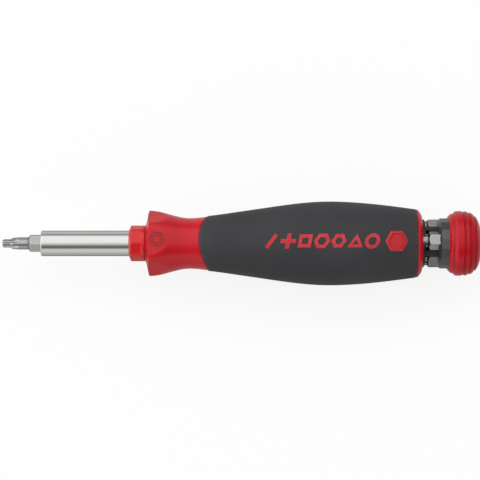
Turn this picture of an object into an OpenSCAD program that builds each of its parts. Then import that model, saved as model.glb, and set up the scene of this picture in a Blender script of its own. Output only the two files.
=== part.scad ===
// Pocket screwdriver with a bit magazine in its handle.
// The tool axis lies along X, from the tip towards the end cap, and the flat with the boss faces +Z.
// The origin is on the axis, where the blade sleeve reaches its full diameter behind its mouth.
// The magazine is drawn partly pulled out of the handle.

/* [Bits] */
// Across flats of the bits' hexagon shanks
bit_af = 6.3; // [6.2:0.05:6.35]
// Whole length of a bit
bit_len = 25; // [24.5:0.1:26]
// Length of a bit's full hexagon, end chamfer included
bit_hex_len = 14; // [13:0.1:14.5]
// Diameter of the six-lobe bit's shank behind its tip
lobe_shank_d = 4.7; // [4.2:0.1:5.2]
// Diameter over the six lobes
lobe_d = 3.4; // [3.1:0.05:3.9]
// Diameter of the two cross bits' shanks
cross_shank_d = 5.2; // [5:0.1:6]
// Diameter of the two cross bits' blunt ends
cross_end_d = 1.9; // [1.4:0.1:2.4]
// Width of the slotted bit's blade
slot_blade_w = 5.5; // [4.5:0.1:5.8]
// Thickness of the slotted bit's blade at its end
slot_blade_t = 1.0; // [0.6:0.1:1.4]

/* [Blade] */
// Outside diameter of the blade sleeve
sleeve_d = 9.8; // [9.4:0.1:10.6]
// Full-diameter length of the sleeve in front of the nose collar
sleeve_show = 33.5; // [26:0.5:42]
// Chamfer round the sleeve's mouth
sleeve_chamfer = 0.3; // [0.1:0.1:0.5]
// Length of the sleeve's tail, inside the nose collar and the handle
tail_len = 10; // [8:0.5:13]
// Diameter of that tail
tail_d = 9.2; // [9:0.1:9.3]
// Depth of the bit socket behind the origin
socket_depth = 9.85; // [9:0.05:11]
// Diameter of the magnet at the socket's bottom
magnet_d = 6; // [5:0.1:6.2]
// Length of the magnet
magnet_len = 4; // [3:0.5:6]
// Wire diameter of the ring that holds the bit
clip_wire_d = 0.6; // [0.5:0.05:0.65]
// Distance from the origin to that ring
clip_x = 2.6; // [1.6:0.1:5]
// Length of the hexagon shank behind the magnet
shank_len = 66; // [60:0.5:72]
// Turn of the blade's hexagon against the handle's flats, in degrees
blade_turn = -8; // [-15:1:15]
// Span over the shank's swaged wings
wing_span = 11; // [9:0.5:12]
// Thickness of the wings
wing_t = 1.6; // [1.2:0.1:2.4]
// Length of the wings
wing_len = 10; // [6:0.5:12]

/* [Nose collar] */
// Length of the nose collar
nose_len = 6.2; // [5.6:0.1:8]
// Outside diameter of the nose collar
nose_d = 13.8; // [13:0.1:14.6]
// Distance across its eight milled flats
nose_af = 13.1; // [12.6:0.1:13.2]
// Diameter of its front face, inside the front bevel
nose_face_d = 10.4; // [10:0.1:11.4]
// Length of the front bevel
nose_bevel = 0.8; // [0.4:0.1:1.2]
// Length of the flats
nose_flat_len = 4.4; // [3:0.1:4.6]

/* [Handle] */
// Length of the handle, from the flange's front face to the rear rim's end
handle_len = 106; // [105:0.1:111]
// Diameter of the flange's flat front face
flange_face_d = 14; // [13:0.1:16]
// Length of the flange's steep front cone
flange_front = 1.9; // [1.4:0.1:3]
// Largest diameter of the flange
flange_d = 25.2; // [24:0.1:26.5]
// Distance across the flange's six flats
flange_af = 22.7; // [22:0.1:23.4]
// Distance from the handle's front to the waist
waist_x = 17.1; // [15:0.1:18.5]
// Diameter at the waist
waist_d = 19.4; // [18.4:0.1:20.4]
// Distance from the handle's front to the middle of the swell
swell_x = 43; // [40:0.5:48]
// Diameter in the middle of the swell
swell_d = 26.4; // [25.4:0.1:27.4]
// Distance from the handle's front to the belly
belly_x = 70.6; // [67:0.1:74]
// Largest diameter of the handle, at the belly
belly_d = 32.2; // [31:0.1:33.5]
// Length of the hard rim behind the grip
rim_len = 2; // [1.8:0.1:3]
// Width of the rim's end face round the well
rim_wall = 1.3; // [1.1:0.05:1.6]
// Height of the rim's shoulder, from its end face to the grip
rim_height = 1.8; // [1.4:0.1:2.4]

/* [Soft grip] */
// Thickness of the moulded grip
grip_t = 1.8; // [1.4:0.1:2]
// How far the grip's front edge stands over the hard surface
grip_proud = 0.3; // [0.1:0.05:0.6]
// Distance from the handle's front to the tip of the grip's front lobes
grip_tip_x = 21.1; // [19.5:0.1:22.5]
// Depth of the valleys between those lobes
grip_valley = 3.4; // [2:0.1:4]
// Distance from the hexagon boss to the handle's rear end
boss_x = 10.3; // [8:0.1:14]
// Across flats of the boss at its foot
boss_af = 8.1; // [7:0.1:9]
// Across flats of the boss's top
boss_top_af = 4.5; // [3.5:0.1:5.5]
// Height of the boss's top over the grip
boss_proud = 0.5; // [0.2:0.1:1]

/* [Magazine] */
// Number of bays in the magazine
bays = 4; // [3:1:4]
// Radius of the circle on which the spare bits stand
bay_r = 5.86; // [5.8:0.02:6]
// Turn of the magazine against the handle, in degrees
magazine_turn = 6.5; // [-20:0.5:20]
// How far the magazine is pulled out, between the handle's end and the cap
pull = 10.2; // [8:0.1:12]
// Depth of the well
well_depth = 36; // [35.5:0.5:38]
// Wire diameter of the detent ring in the well
detent_wire_d = 1.3; // [1:0.05:1.35]
// Distance from the handle's end to the detent ring
detent_back = 8.3; // [8:0.1:9]
// Diameter over the cage's ribs and guide disc
cage_d = 18.4; // [18.2:0.05:18.5]
// Diameter of the waist between the guide disc and the collar
cage_waist_d = 14; // [12:0.2:15]
// Length of the ribs in front of the guide disc
rib_len = 9.9; // [8:0.1:10.4]
// Length of the guide disc
disc_len = 2.8; // [2:0.1:3]
// Width of the disc's front bevel
disc_bevel = 1.7; // [1:0.1:1.9]
// Open length between the guide disc and the collar
window_len = 5; // [4.4:0.1:5.4]
// Length of the collar
collar_len = 4.1; // [3.6:0.1:5]
// Number of the collar's facets
collar_facets = 16; // [14:1:24]
// Width of the collar's front bevel
collar_bevel = 1.2; // [0.6:0.1:1.4]
// Diameter of the cage's spindle
spindle_d = 4.4; // [3.6:0.1:4.8]
// Depth of the spindle's socket in the cap
spindle_seat = 6; // [4:0.5:8]
// Depth to which the bits' hexagons stand in the cap
bit_seat = 6.8; // [6:0.1:7]

/* [End cap] */
// Length of the end cap
cap_len = 12.7; // [12.2:0.1:14]
// Height of the cap's side over the lip
cap_step = 1.05; // [0.8:0.05:1.4]
// Height of the lip over the rim's end face
lip_step = 0.1; // [0:0.05:0.3]
// Width of the lip's front bevel
lip_bevel = 1.1; // [0.8:0.05:1.2]
// Length of the lip
lip_len = 1.8; // [1.4:0.1:2.4]
// Number of grooves round the cap
grooves = 3; // [2:1:3]
// Distance from the lip's face to the first groove
groove_x = 5.75; // [5.4:0.05:6.2]
// Distance between grooves
groove_pitch = 1.9; // [1.6:0.1:2]
// Depth of a groove
groove_depth = 0.36; // [0.2:0.01:0.45]
// Radius of a groove's round bottom
groove_r = 0.46; // [0.4:0.01:0.7]

/* [Fits] */
// Side clearance round a bit's hexagon
hex_clear = 0.08; // [0.05:0.01:0.1]
// Gap between moulded or pressed pieces
seat_gap = 0.02; // [0.01:0.01:0.04]
// Running gap between pieces that slide or turn
run_gap = 0.05; // [0.03:0.01:0.1]
// Side clearance of the magazine in the well
well_clear = 0.8; // [0.7:0.05:1]
// Side clearance of the collar's corners in the well
collar_clear = 0.2; // [0.15:0.05:0.3]

/* [Hidden] */

$fn = 96;
// Overrun of every cut past the face that it opens
over = 1;
steel = [0.72, 0.72, 0.71];
bright = [0.86, 0.86, 0.84];
red = [0.76, 0.13, 0.15];
dark = [0.25, 0.25, 0.27];
black = [0.09, 0.09, 0.09];
grey = [0.3, 0.29, 0.31];

// Places along the tool axis
nose_x = sleeve_show;
handle_x = nose_x + nose_len;
handle_end = handle_x + handle_len;
grip_end = handle_end - rim_len;
blade_bit_end = socket_depth - run_gap;
magnet_x = socket_depth;
shank_x = magnet_x + magnet_len + seat_gap;
shank_end = shank_x + shank_len;
wing_x = shank_end - 2 * wing_len;
lip_x = handle_end + pull;
collar_x = lip_x - collar_len;
disc_end = collar_x - window_len;
disc_x = disc_end - disc_len;
rib_x = disc_x - rib_len;
spare_bit_end = lip_x + bit_seat;
detent_x = handle_end - detent_back;

// The well clears the cage and the bits that it carries, and the rim and the cap follow the well
carry_r = max(cage_d / 2, norm([bit_af * tan(30) / 2, bay_r + bit_af / 2]));
well_d = 2 * (carry_r + well_clear);
collar_d = well_d - 2 * collar_clear;
rim_face_d = well_d + 2 * rim_wall;
tail_end_d = rim_face_d + 2 * rim_height;
lip_d = rim_face_d + 2 * lip_step;
lip_face_d = lip_d - 2 * lip_bevel;
cap_d = lip_d + 2 * cap_step;

// Shape shares of the handle's outline: slopes, and the steps of the flange's front and of the rim
// as shares of their length and height
swell_slope_share = 0.143;
tail_slope_share = -0.14;
front_slope_share = 0.09;
neck_slope_share = 0.1;
front_shares = [[0, 0], [0.28, 0.13], [0.78, 0.84], [0.9, 0.95]];
rim_shares = [[0, 0], [0.26, 0.1], [0.82, 0.8], [1, 1]];
outline_steps = 8;

// Share of the neck's length past the valleys at which the hard outline ends under the grip
neck_reach_share = 1.2;
grip_start_x = grip_tip_x - grip_t / 2;
grip_front_d = waist_d + grip_t / 3 + grip_proud;
neck_x = grip_tip_x + grip_valley * neck_reach_share + grip_t / 2;
neck_d = grip_front_d + (neck_x - grip_start_x) * 2 * front_slope_share - grip_proud;

// Shape shares of the bits
hex_corner_d = bit_af / cos(30);
bit_chamfer = bit_hex_len / 28;
bit_shoulder = bit_hex_len / 14;
tip_len = bit_len - bit_hex_len;
lobe_len_share = 0.26;
lobe_blend_share = 0.12;
lobe_core_share = 0.74;
flute_r_share = 0.206;
flute_wheel_share = 0.55;
cross_taper_share = 0.5;
cross_flute_share = 0.26;
cross_tilt = 9;
posi_rib_shares = [0.16, 0.62];
slot_taper_share = 0.68;
slot_root_share = 0.8;

// Cubic curve between two values with given end slopes, for t from 0 to 1
function curve(t, a, b, slope_a, slope_b) =
    a * (2 * pow(t, 3) - 3 * pow(t, 2) + 1) + b * (3 * pow(t, 2) - 2 * pow(t, 3))
    + slope_a * (pow(t, 3) - 2 * pow(t, 2) + t) + slope_b * (pow(t, 3) - pow(t, 2));

// Radius between two stations [place, diameter, slope] of an outline
function span_r(x, a, b) =
    let (len = b[0] - a[0], t = (x - a[0]) / len)
    curve(t, a[1] / 2, b[1] / 2, a[2] * len, b[2] * len);

// Outline points [radius, place] from one station to the next
function span(a, b, steps = outline_steps) =
    [for (i = [0 : steps]) let (x = a[0] + (b[0] - a[0]) * i / steps) [span_r(x, a, b), x]];

// Stations of the handle, counted from its front
flange_st = [flange_front, flange_d, 0];
waist_st = [waist_x, waist_d, 0];
neck_st = [neck_x, neck_d, neck_slope_share];
front_st = [grip_start_x, grip_front_d, front_slope_share];
swell_st = [swell_x, swell_d, swell_slope_share];
belly_st = [belly_x, belly_d, 0];
tail_st = [handle_len - rim_len, tail_end_d, tail_slope_share];

// Radius of the grip's outer surface at a distance from the handle's front
function grip_r(x) = x < swell_x ? span_r(x, front_st, swell_st)
    : x < belly_x ? span_r(x, swell_st, belly_st) : span_r(x, belly_st, tail_st);

// Places that the grip's outline passes through, from a start to the rear rim
function grip_places(start) = concat(
    [for (i = [0 : outline_steps - 1]) start + (swell_x - start) * i / outline_steps],
    [for (i = [0 : outline_steps - 1]) swell_x + (belly_x - swell_x) * i / outline_steps],
    [for (i = [0 : outline_steps]) belly_x + (tail_st[0] - belly_x) * i / outline_steps]);

// The grip's outline, drawn in from its outer surface
function grip_outline(start, depth) = [for (x = grip_places(start)) [grip_r(x) - depth, x]];

// Steep cone from the flange's face, rounded into its largest radius
function flange_cone() =
    [for (s = front_shares) [(flange_face_d + (flange_d - flange_face_d) * s[1]) / 2, flange_front * s[0]]];

function rim() =
    [for (s = rim_shares)
        [(tail_end_d + (rim_face_d - tail_end_d) * s[1]) / 2, tail_st[0] + rim_len * s[0]]];

// Outline points moved along the axis
function shifted(points, dx) = [for (p = points) [p[0], p[1] + dx]];

// Solid of revolution about the tool axis from points [radius, place]
module lathe(points) {
    rotate([0, 90, 0]) rotate_extrude() polygon(points);
}

// Round rod or bore along the axis
module rod(d, x0, x1) {
    translate([x0, 0, 0]) rotate([0, 90, 0]) cylinder(d = d, h = x1 - x0);
}

// Hexagon rod along the axis with two flats facing up and down
module hex_rod(af, x0, x1) {
    translate([x0, 0, 0]) rotate([0, 90, 0]) rotate([0, 0, 30]) cylinder(d = af / cos(30), h = x1 - x0, $fn = 6);
}

// The blade's hexagon has a corner on top, apart from its small turn
module blade_hex(af, x0, x1) {
    rotate([30 - blade_turn, 0, 0]) hex_rod(af, x0, x1);
}

// Places children in one bay of the magazine, counted from the top
module in_bay(k) {
    rotate([-magazine_turn - 360 * k / bays, 0, 0]) translate([0, 0, bay_r]) children();
}

// Cut along the axis from a flat outline in the plane across it
module along_axis(x0, x1) {
    translate([x0, 0, 0]) rotate([90, 0, 90]) linear_extrude(x1 - x0) children();
}

// A bit's hexagon and neck, with the rear end at zero and the tip towards -X
module bit_blank(neck_d) {
    neck_x = -bit_hex_len;
    corner_r = hex_corner_d / 2;
    wide_r = hex_corner_d - neck_d / 2;
    intersection() {
        hex_rod(bit_af, neck_x - bit_shoulder, 0);
        lathe([[0, neck_x - bit_shoulder], [neck_d / 2, neck_x - bit_shoulder], [wide_r, neck_x + bit_shoulder],
            [wide_r, -2 * bit_chamfer], [corner_r + bit_chamfer, -2 * bit_chamfer], [corner_r - bit_chamfer, 0],
            [0, 0]]);
    }
}

// One flute of the six-lobe tip, straight to a given place and then run out as a wheel leaves it
module lobe_flute(x1) {
    r = lobe_d * flute_r_share;
    height = lobe_d * lobe_core_share / 2 + r;
    wheel = tip_len * flute_wheel_share;
    along_axis(-bit_len - over, x1) translate([0, height]) circle(r, $fn = 32);
    translate([x1, 0, height + wheel]) rotate([90, 0, 0]) rotate_extrude()
        translate([wheel, 0]) circle(r, $fn = 32);
}

module six_lobe() {
    shoulder_x = -bit_hex_len - bit_shoulder;
    lobe_x = -bit_len + tip_len * lobe_len_share;
    blend_x = lobe_x + tip_len * lobe_blend_share;
    edge = lobe_d / 2 * (1 - lobe_core_share);
    bit_blank(lobe_shank_d);
    difference() {
        lathe([[0, -bit_len], [lobe_d / 2 - edge, -bit_len], [lobe_d / 2, -bit_len + edge],
            [lobe_d / 2, lobe_x], [lobe_shank_d / 2, blend_x], [lobe_shank_d / 2, shoulder_x + seat_gap],
            [0, shoulder_x + seat_gap]]);
        for (k = [0 : 5]) rotate([60 * k, 0, 0]) lobe_flute(lobe_x);
    }
}

module bit_six_lobe() {
    color(steel) translate([blade_bit_end, 0, 0]) rotate([30 - blade_turn, 0, 0]) six_lobe();
}

// Tapered tip with four flutes that run out along the cone
module cross_tip(flute_share) {
    shoulder_x = -bit_hex_len - bit_shoulder;
    cone_x = -bit_len + tip_len * cross_taper_share;
    apex = cross_end_d * flute_share;
    difference() {
        lathe([[0, -bit_len], [cross_end_d / 2, -bit_len], [cross_shank_d / 2, cone_x],
            [cross_shank_d / 2, shoulder_x + seat_gap], [0, shoulder_x + seat_gap]]);
        for (k = [0 : 3]) rotate([45 + 90 * k, 0, 0]) translate([-bit_len, 0, apex]) rotate([0, -cross_tilt, 0])
            along_axis(-over, bit_len)
                polygon([[0, 0], [cross_shank_d / 2, cross_shank_d / 2],
                    [cross_shank_d / 2, cross_shank_d], [-cross_shank_d / 2, cross_shank_d],
                    [-cross_shank_d / 2, cross_shank_d / 2]]);
    }
}

module bit_phillips() {
    color(steel) translate([spare_bit_end, 0, 0]) in_bay(0) {
        bit_blank(cross_shank_d);
        cross_tip(cross_flute_share);
    }
}

// The fine ribs between the wings of the second cross tip
module posi_ribs() {
    rib_t = cross_end_d * posi_rib_shares[0];
    rib_h = cross_end_d * posi_rib_shares[1];
    for (k = [0 : 1]) rotate([45 + 90 * k, 0, 0])
        translate([-bit_len, -rib_t / 2, -rib_h]) cube([tip_len * cross_taper_share, rib_t, 2 * rib_h]);
}

module bit_pozidriv() {
    color(steel) translate([spare_bit_end, 0, 0]) in_bay(3) {
        bit_blank(cross_shank_d);
        cross_tip(cross_flute_share);
        posi_ribs();
    }
}

// Flat blade that tapers from the shank to its end
module bit_slotted() {
    shoulder_x = -bit_hex_len - bit_shoulder;
    taper_x = -bit_len + tip_len * slot_taper_share;
    root = slot_blade_w * slot_root_share / 2;
    color(steel) translate([spare_bit_end, 0, 0]) in_bay(1) {
        bit_blank(slot_blade_w);
        intersection() {
            rod(slot_blade_w, -bit_len, shoulder_x + seat_gap);
            rotate([90, 0, 0]) linear_extrude(bit_len, center = true)
                polygon([[-bit_len, -slot_blade_t / 2], [taper_x, -root], [taper_x + root, -slot_blade_w],
                    [0, -slot_blade_w], [0, slot_blade_w], [taper_x + root, slot_blade_w], [taper_x, root],
                    [-bit_len, slot_blade_t / 2]]);
        }
    }
}

// Ring of wire round the axis, with a gap where it is open
module wire_ring(x, inner_d, wire_d, gap) {
    translate([x, 0, 0]) difference() {
        rotate([0, 90, 0]) rotate_extrude() translate([inner_d / 2 + wire_d / 2, 0]) circle(d = wire_d, $fn = 32);
        translate([-wire_d, -gap / 2, 0]) cube([2 * wire_d, gap, inner_d]);
    }
}

// The wire ring rests in its groove and leaves the bit's corners a running gap
clip_inner_d = hex_corner_d + 2 * (hex_clear + run_gap);
clip_groove_d = clip_inner_d + 2 * (clip_wire_d + seat_gap);

module bit_clip_ring() {
    color(bright) wire_ring(clip_x, clip_inner_d, clip_wire_d, clip_inner_d / 4);
}

module blade_sleeve() {
    tail_end = nose_x + tail_len;
    color(bright) difference() {
        lathe([[0, -sleeve_chamfer], [sleeve_d / 2 - sleeve_chamfer, -sleeve_chamfer], [sleeve_d / 2, 0],
            [sleeve_d / 2, nose_x], [tail_d / 2, nose_x], [tail_d / 2, tail_end], [0, tail_end]]);
        blade_hex(bit_af + 2 * hex_clear, -sleeve_chamfer - over, tail_end + over);
        rod(clip_groove_d, clip_x - clip_wire_d / 2 - seat_gap, clip_x + clip_wire_d / 2 + seat_gap);
    }
}

module blade_magnet() {
    color(dark) rod(magnet_d, magnet_x, magnet_x + magnet_len);
}

// Two wings pressed out of the shank, thicker by twice the clearance where a cavity takes them
module wings(clear) {
    intersection() {
        rod(wing_span + 2 * clear, wing_x - clear, wing_x + wing_len + clear);
        translate([wing_x - clear, -wing_span, -wing_t / 2 - clear])
            cube([wing_len + 2 * clear, 2 * wing_span, wing_t + 2 * clear]);
    }
}

module blade_shank() {
    color(steel) {
        blade_hex(bit_af, shank_x, shank_end);
        wings(0);
    }
}

// One milled flat of the nose collar, with a round run-out at its rear end
module milled_flat() {
    cutter_r = (nose_len - nose_flat_len) / 2;
    depth = (nose_d - nose_af) / 2;
    rotate([90, 0, 0]) linear_extrude(nose_d, center = true) {
        translate([nose_x - over, nose_af / 2]) square([nose_flat_len + over, depth + over]);
        translate([nose_x + nose_flat_len, nose_af / 2 + cutter_r]) circle(cutter_r);
    }
}

module nose_collar() {
    hub = seat_gap + (nose_len - nose_flat_len) / 24;
    color(red) difference() {
        lathe([[0, nose_x], [nose_face_d / 2, nose_x], [nose_d / 2, nose_x + nose_bevel],
            [nose_d / 2, handle_x - hub], [nose_face_d / 2, handle_x - hub], [nose_face_d / 2, handle_x],
            [0, handle_x]]);
        rod(tail_d + 2 * seat_gap, nose_x - over, handle_x + over);
        for (k = [0 : 7]) rotate([22.5 + 45 * k, 0, 0]) milled_flat();
    }
}

// Everything behind the grip's front edge: a round-ended tongue seen from above, straight down through
module grip_region(inset) {
    half = grip_r(grip_tip_x + grip_valley);
    edge_r = (half * half + grip_valley * grip_valley) / (2 * grip_valley) - inset;
    centre_x = handle_x + grip_tip_x + edge_r + inset;
    translate([0, 0, -belly_d]) linear_extrude(2 * belly_d) {
        translate([centre_x, 0]) circle(edge_r);
        translate([centre_x, -edge_r]) square([handle_len, 2 * edge_r]);
    }
}

// Six-sided prism with bevelled top edges, its corners towards the handle's ends
module bevelled_hex(af, top_af, z0, z1, z2) {
    intersection() {
        roof(af, top_af, z0, z1, z2);
        rotate([0, 0, 60]) roof(af, top_af, z0, z1, z2);
        rotate([0, 0, 120]) roof(af, top_af, z0, z1, z2);
    }
}

module roof(af, top_af, z0, z1, z2) {
    rotate([90, 0, 90]) linear_extrude(2 * af, center = true)
        polygon([[-af / 2, z0], [af / 2, z0], [af / 2, z1], [top_af / 2, z2], [-top_af / 2, z2], [-af / 2, z1]]);
}

// The boss rises from the core, through a window in the grip
boss_place = handle_len - boss_x;
boss_top = grip_r(boss_place) + boss_proud;
boss_bevel = (boss_af - boss_top_af) / 4;

module handle_core() {
    depth = grip_t + seat_gap;
    color(red) difference() {
        union() {
            lathe(shifted(concat([[0, 0]], flange_cone(), span(flange_st, waist_st), span(waist_st, neck_st),
                grip_outline(neck_x, depth), rim(), [[0, handle_len]]), handle_x));
            translate([handle_x + boss_place, 0, 0])
                bevelled_hex(boss_af, boss_top_af, well_d / 2, boss_top - boss_bevel, boss_top);
        }
        grip_bed(depth);
        flange_flats();
        shank_cavity();
        well();
    }
}

// Bed of the grip's front lobes
module grip_bed(depth) {
    bed = [for (i = [0 : outline_steps])
        let (x = grip_start_x + (neck_x - grip_start_x) * i / outline_steps) [grip_r(x) - depth, x]];
    intersection() {
        grip_region(-seat_gap);
        lathe(shifted(concat([[belly_d, grip_start_x]], bed, [[belly_d, neck_x]]), handle_x));
    }
}

// What lies outside the flange's hexagon, in front of the waist
module flange_flats() {
    difference() {
        rod(flange_d + 2 * over, handle_x - over, handle_x + waist_x);
        hex_rod(flange_af, handle_x - 2 * over, handle_x + waist_x + over);
    }
}

module shank_cavity() {
    rod(tail_d + 2 * seat_gap, handle_x - over, nose_x + tail_len + seat_gap);
    blade_hex(bit_af + 2 * seat_gap, handle_x - over, shank_end + seat_gap);
    wings(seat_gap);
}

// Round well with a bevelled mouth and the detent ring's groove
module well() {
    mouth = (rim_face_d - well_d) / 4;
    rod(well_d, handle_end - well_depth, handle_end + over);
    lathe([[0, handle_end - mouth], [well_d / 2, handle_end - mouth], [well_d / 2 + mouth, handle_end],
        [well_d / 2 + mouth, handle_end + over], [0, handle_end + over]]);
    rod(detent_inner_d + 2 * detent_wire_d + 2 * run_gap, detent_x - detent_wire_d / 2 - run_gap,
        detent_x + detent_wire_d / 2 + run_gap);
}

module soft_grip() {
    color(dark) difference() {
        intersection() {
            grip_region(0);
            lathe(shifted(concat(grip_outline(grip_start_x, 0),
                [[grip_r(tail_st[0]), tail_st[0] - seat_gap]],
                [[grip_r(tail_st[0]) - grip_t, tail_st[0] - seat_gap]],
                [for (i = [len(grip_places(grip_start_x)) - 2 : -1 : 0])
                    let (x = grip_places(grip_start_x)[i]) [grip_r(x) - grip_t, x]]), handle_x));
        }
        translate([handle_x + boss_place, 0, 0])
            cylinder(d = (boss_af + 2 * seat_gap) / cos(30), h = belly_d, $fn = 6);
    }
}

// The detent ring leaves the magazine a running gap
detent_inner_d = 2 * carry_r + 4 * run_gap;

module detent_ring() {
    color(black) wire_ring(detent_x, detent_inner_d, detent_wire_d, detent_wire_d);
}

// A bay of the cage: a hexagon channel with an outward opening of a given width
module bay_cut(x0, x1, opening) {
    hex_rod(bit_af + 2 * hex_clear, x0, x1);
    translate([x0, -opening / 2, 0]) cube([x1 - x0, opening, cage_d]);
}

module magazine_cage() {
    full = hex_corner_d + 2 * hex_clear;
    window = bit_af * tan(30);
    color(black) {
        difference() {
            lathe([[0, rib_x], [cage_d / 2, rib_x], [cage_d / 2, disc_end], [cage_waist_d / 2, disc_end],
                [cage_waist_d / 2, collar_x], [0, collar_x]]);
            for (k = [0 : bays - 1]) in_bay(k) {
                bay_cut(rib_x - over, disc_x, full);
                bay_cut(disc_x - over, disc_end + seat_gap, window);
                bay_cut(disc_end, collar_x + over, full);
                disc_front(full);
            }
        }
        rod(spindle_d, collar_x - over, lip_x + spindle_seat);
    }
}

// The guide disc's front bevel, cut only where it closes a bay
module disc_front(width) {
    translate([0, 0, -bay_r]) intersection() {
        translate([disc_x, -width / 2, 0]) cube([disc_bevel, width, cage_d]);
        difference() {
            rod(cage_d + 2 * over, disc_x, disc_x + disc_bevel);
            lathe([[0, disc_x - over], [cage_d / 2 - disc_bevel, disc_x - over], [cage_d / 2 - disc_bevel, disc_x],
                [cage_d / 2, disc_x + disc_bevel], [cage_d / 2, disc_x + disc_bevel + over],
                [0, disc_x + disc_bevel + over]]);
        }
    }
}

module magazine_collar() {
    color(grey) difference() {
        intersection() {
            rotate([-magazine_turn, 0, 0]) along_axis(collar_x, lip_x)
                polygon([for (i = [0 : collar_facets - 1]) let (a = 90 + 360 * i / collar_facets)
                    [cos(a), sin(a)] * collar_d / 2]);
            lathe([[0, collar_x], [collar_d / 2 - collar_bevel, collar_x],
                [collar_d / 2 + over, collar_x + collar_bevel + over], [collar_d / 2 + over, lip_x], [0, lip_x]]);
        }
        rod(spindle_d + 2 * seat_gap, collar_x - over, lip_x + over);
        for (k = [0 : bays - 1]) in_bay(k) hex_rod(bit_af + 2 * hex_clear, collar_x - over, lip_x + over);
    }
}

// Outline of the cap: a lip, a bevel and a full round end
cap_round_share = 0.68;
cap_round_power = 3;
cap_round_last_share = 0.985;
cap_round_steps = 14;

function cap_round() =
    let (len = cap_len * cap_round_share)
    [for (i = [0 : cap_round_steps]) let (u = cap_round_last_share * sin(90 * i / cap_round_steps))
        [cap_d / 2 * pow(1 - pow(u, cap_round_power), 1 / cap_round_power), cap_len - len + len * u]];

function cap_radius(x) =
    let (len = cap_len * cap_round_share, u = max(0, (x - cap_len + len) / len))
    cap_d / 2 * pow(1 - pow(u, cap_round_power), 1 / cap_round_power);

module end_cap() {
    cap_end = lip_x + cap_len * (1 - cap_round_share + cap_round_share * cap_round_last_share);
    pocket_end = spare_bit_end + run_gap;
    color(red) difference() {
        lathe(concat([[0, lip_x], [lip_face_d / 2, lip_x], [lip_d / 2, lip_x + lip_bevel],
            [lip_d / 2, lip_x + lip_len], [cap_d / 2, lip_x + lip_len + cap_step]],
            shifted(cap_round(), lip_x), [[0, cap_end]]));
        for (i = [0 : grooves - 1]) let (x = groove_x + groove_pitch * i)
            translate([lip_x + x, 0, 0]) rotate([0, 90, 0]) rotate_extrude()
                translate([cap_radius(x) + groove_r - groove_depth, 0]) circle(groove_r, $fn = 32);
        rod(spindle_d + 2 * seat_gap, lip_x - over, lip_x + spindle_seat + seat_gap);
        for (k = [0 : bays - 1]) in_bay(k) hex_rod(bit_af + 2 * hex_clear, lip_x - over, pocket_end);
    }
}

bit_six_lobe();
bit_clip_ring();
blade_sleeve();
blade_magnet();
blade_shank();
nose_collar();
handle_core();
soft_grip();
detent_ring();
magazine_cage();
magazine_collar();
end_cap();
bit_phillips();
bit_slotted();
bit_pozidriv();
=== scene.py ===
"""Finish of a pocket screwdriver: smooth meshes, materials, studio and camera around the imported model.

The tool lies along X with its tip towards -X, and the side with the hexagon boss faces +Z. An angle round
the tool axis is counted from +Z towards +Y. Sizes are millimetres until a mesh is written, then metres.
"""
import logging
from collections.abc import Callable, Iterable, Sequence
from dataclasses import dataclass
from enum import Enum
from math import asin, atan2, copysign, cos, pi, radians, remainder, sin, sqrt, tan

import bmesh
import bpy
from mathutils import Matrix, Vector


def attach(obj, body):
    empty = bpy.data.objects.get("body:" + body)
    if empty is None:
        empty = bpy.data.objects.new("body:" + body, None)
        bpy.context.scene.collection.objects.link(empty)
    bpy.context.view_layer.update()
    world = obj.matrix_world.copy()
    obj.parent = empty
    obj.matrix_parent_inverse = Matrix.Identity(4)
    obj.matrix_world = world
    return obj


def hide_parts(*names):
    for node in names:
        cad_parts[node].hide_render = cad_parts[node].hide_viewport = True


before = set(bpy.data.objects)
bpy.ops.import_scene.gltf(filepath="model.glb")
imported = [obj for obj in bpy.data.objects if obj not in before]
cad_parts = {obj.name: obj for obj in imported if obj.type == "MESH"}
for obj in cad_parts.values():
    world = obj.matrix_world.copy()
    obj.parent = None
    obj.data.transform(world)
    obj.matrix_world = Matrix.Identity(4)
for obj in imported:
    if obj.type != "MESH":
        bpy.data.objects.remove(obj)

LOG = logging.getLogger("pocket_screwdriver")
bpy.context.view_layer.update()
MM = 0.001
FULL_TURN = 2.0 * pi
# Vertex attribute: 1 on outer edges, rubbed and given a painted highlight; -1 in hollows, given painted shade
WEAR_HIGHLIGHT_SHADE = "edge_wear_highlight_shade"

Mesh = bmesh.types.BMesh
Vert = bmesh.types.BMVert
Socket = bpy.types.NodeSocket
Group = bpy.types.ShaderNodeTree
Material = bpy.types.Material
Point = tuple[float, float]
Ring = Callable[[float], Point]
Triple = tuple[float, float, float]
Colour = Triple


class Close(Enum):
    """How the two open ends of a chain of rings are closed."""

    ENDS = "a face on each end"
    LOOP = "the last ring joined to the first"


class Tip(Enum):
    """Working end of a screwdriver bit."""

    SIX_LOBE = "six lobe"
    PHILLIPS = "cross"
    POZIDRIV = "cross with fine ribs"
    SLOTTED = "slotted"


class Symbol(Enum):
    """Generic drive signs that stand in a row on the grip."""

    SLOT = "slot"
    CROSS = "cross"
    SQUARE = "square"
    HEXAGON = "hexagon"
    SIX_LOBE = "six lobe"
    TRIANGLE = "triangle"
    ROUND = "round"


# Shape functions


def smooth_step(low: float, high: float, value: float) -> float:
    """Smooth change from 0 at low to 1 at high, read at a value."""
    share = min(1.0, max(0.0, (value - low) / (high - low)))
    return share * share * (3.0 - 2.0 * share)


def curve(share: float, start: float, end: float, slope_start: float, slope_end: float) -> float:
    """Cubic curve between two values, read at a share of its length, with the slopes over that length."""
    two, three = share * share, share * share * share
    return (start * (2 * three - 3 * two + 1) + end * (3 * two - 2 * three)
            + slope_start * (three - 2 * two + share) + slope_end * (three - two))


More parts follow.
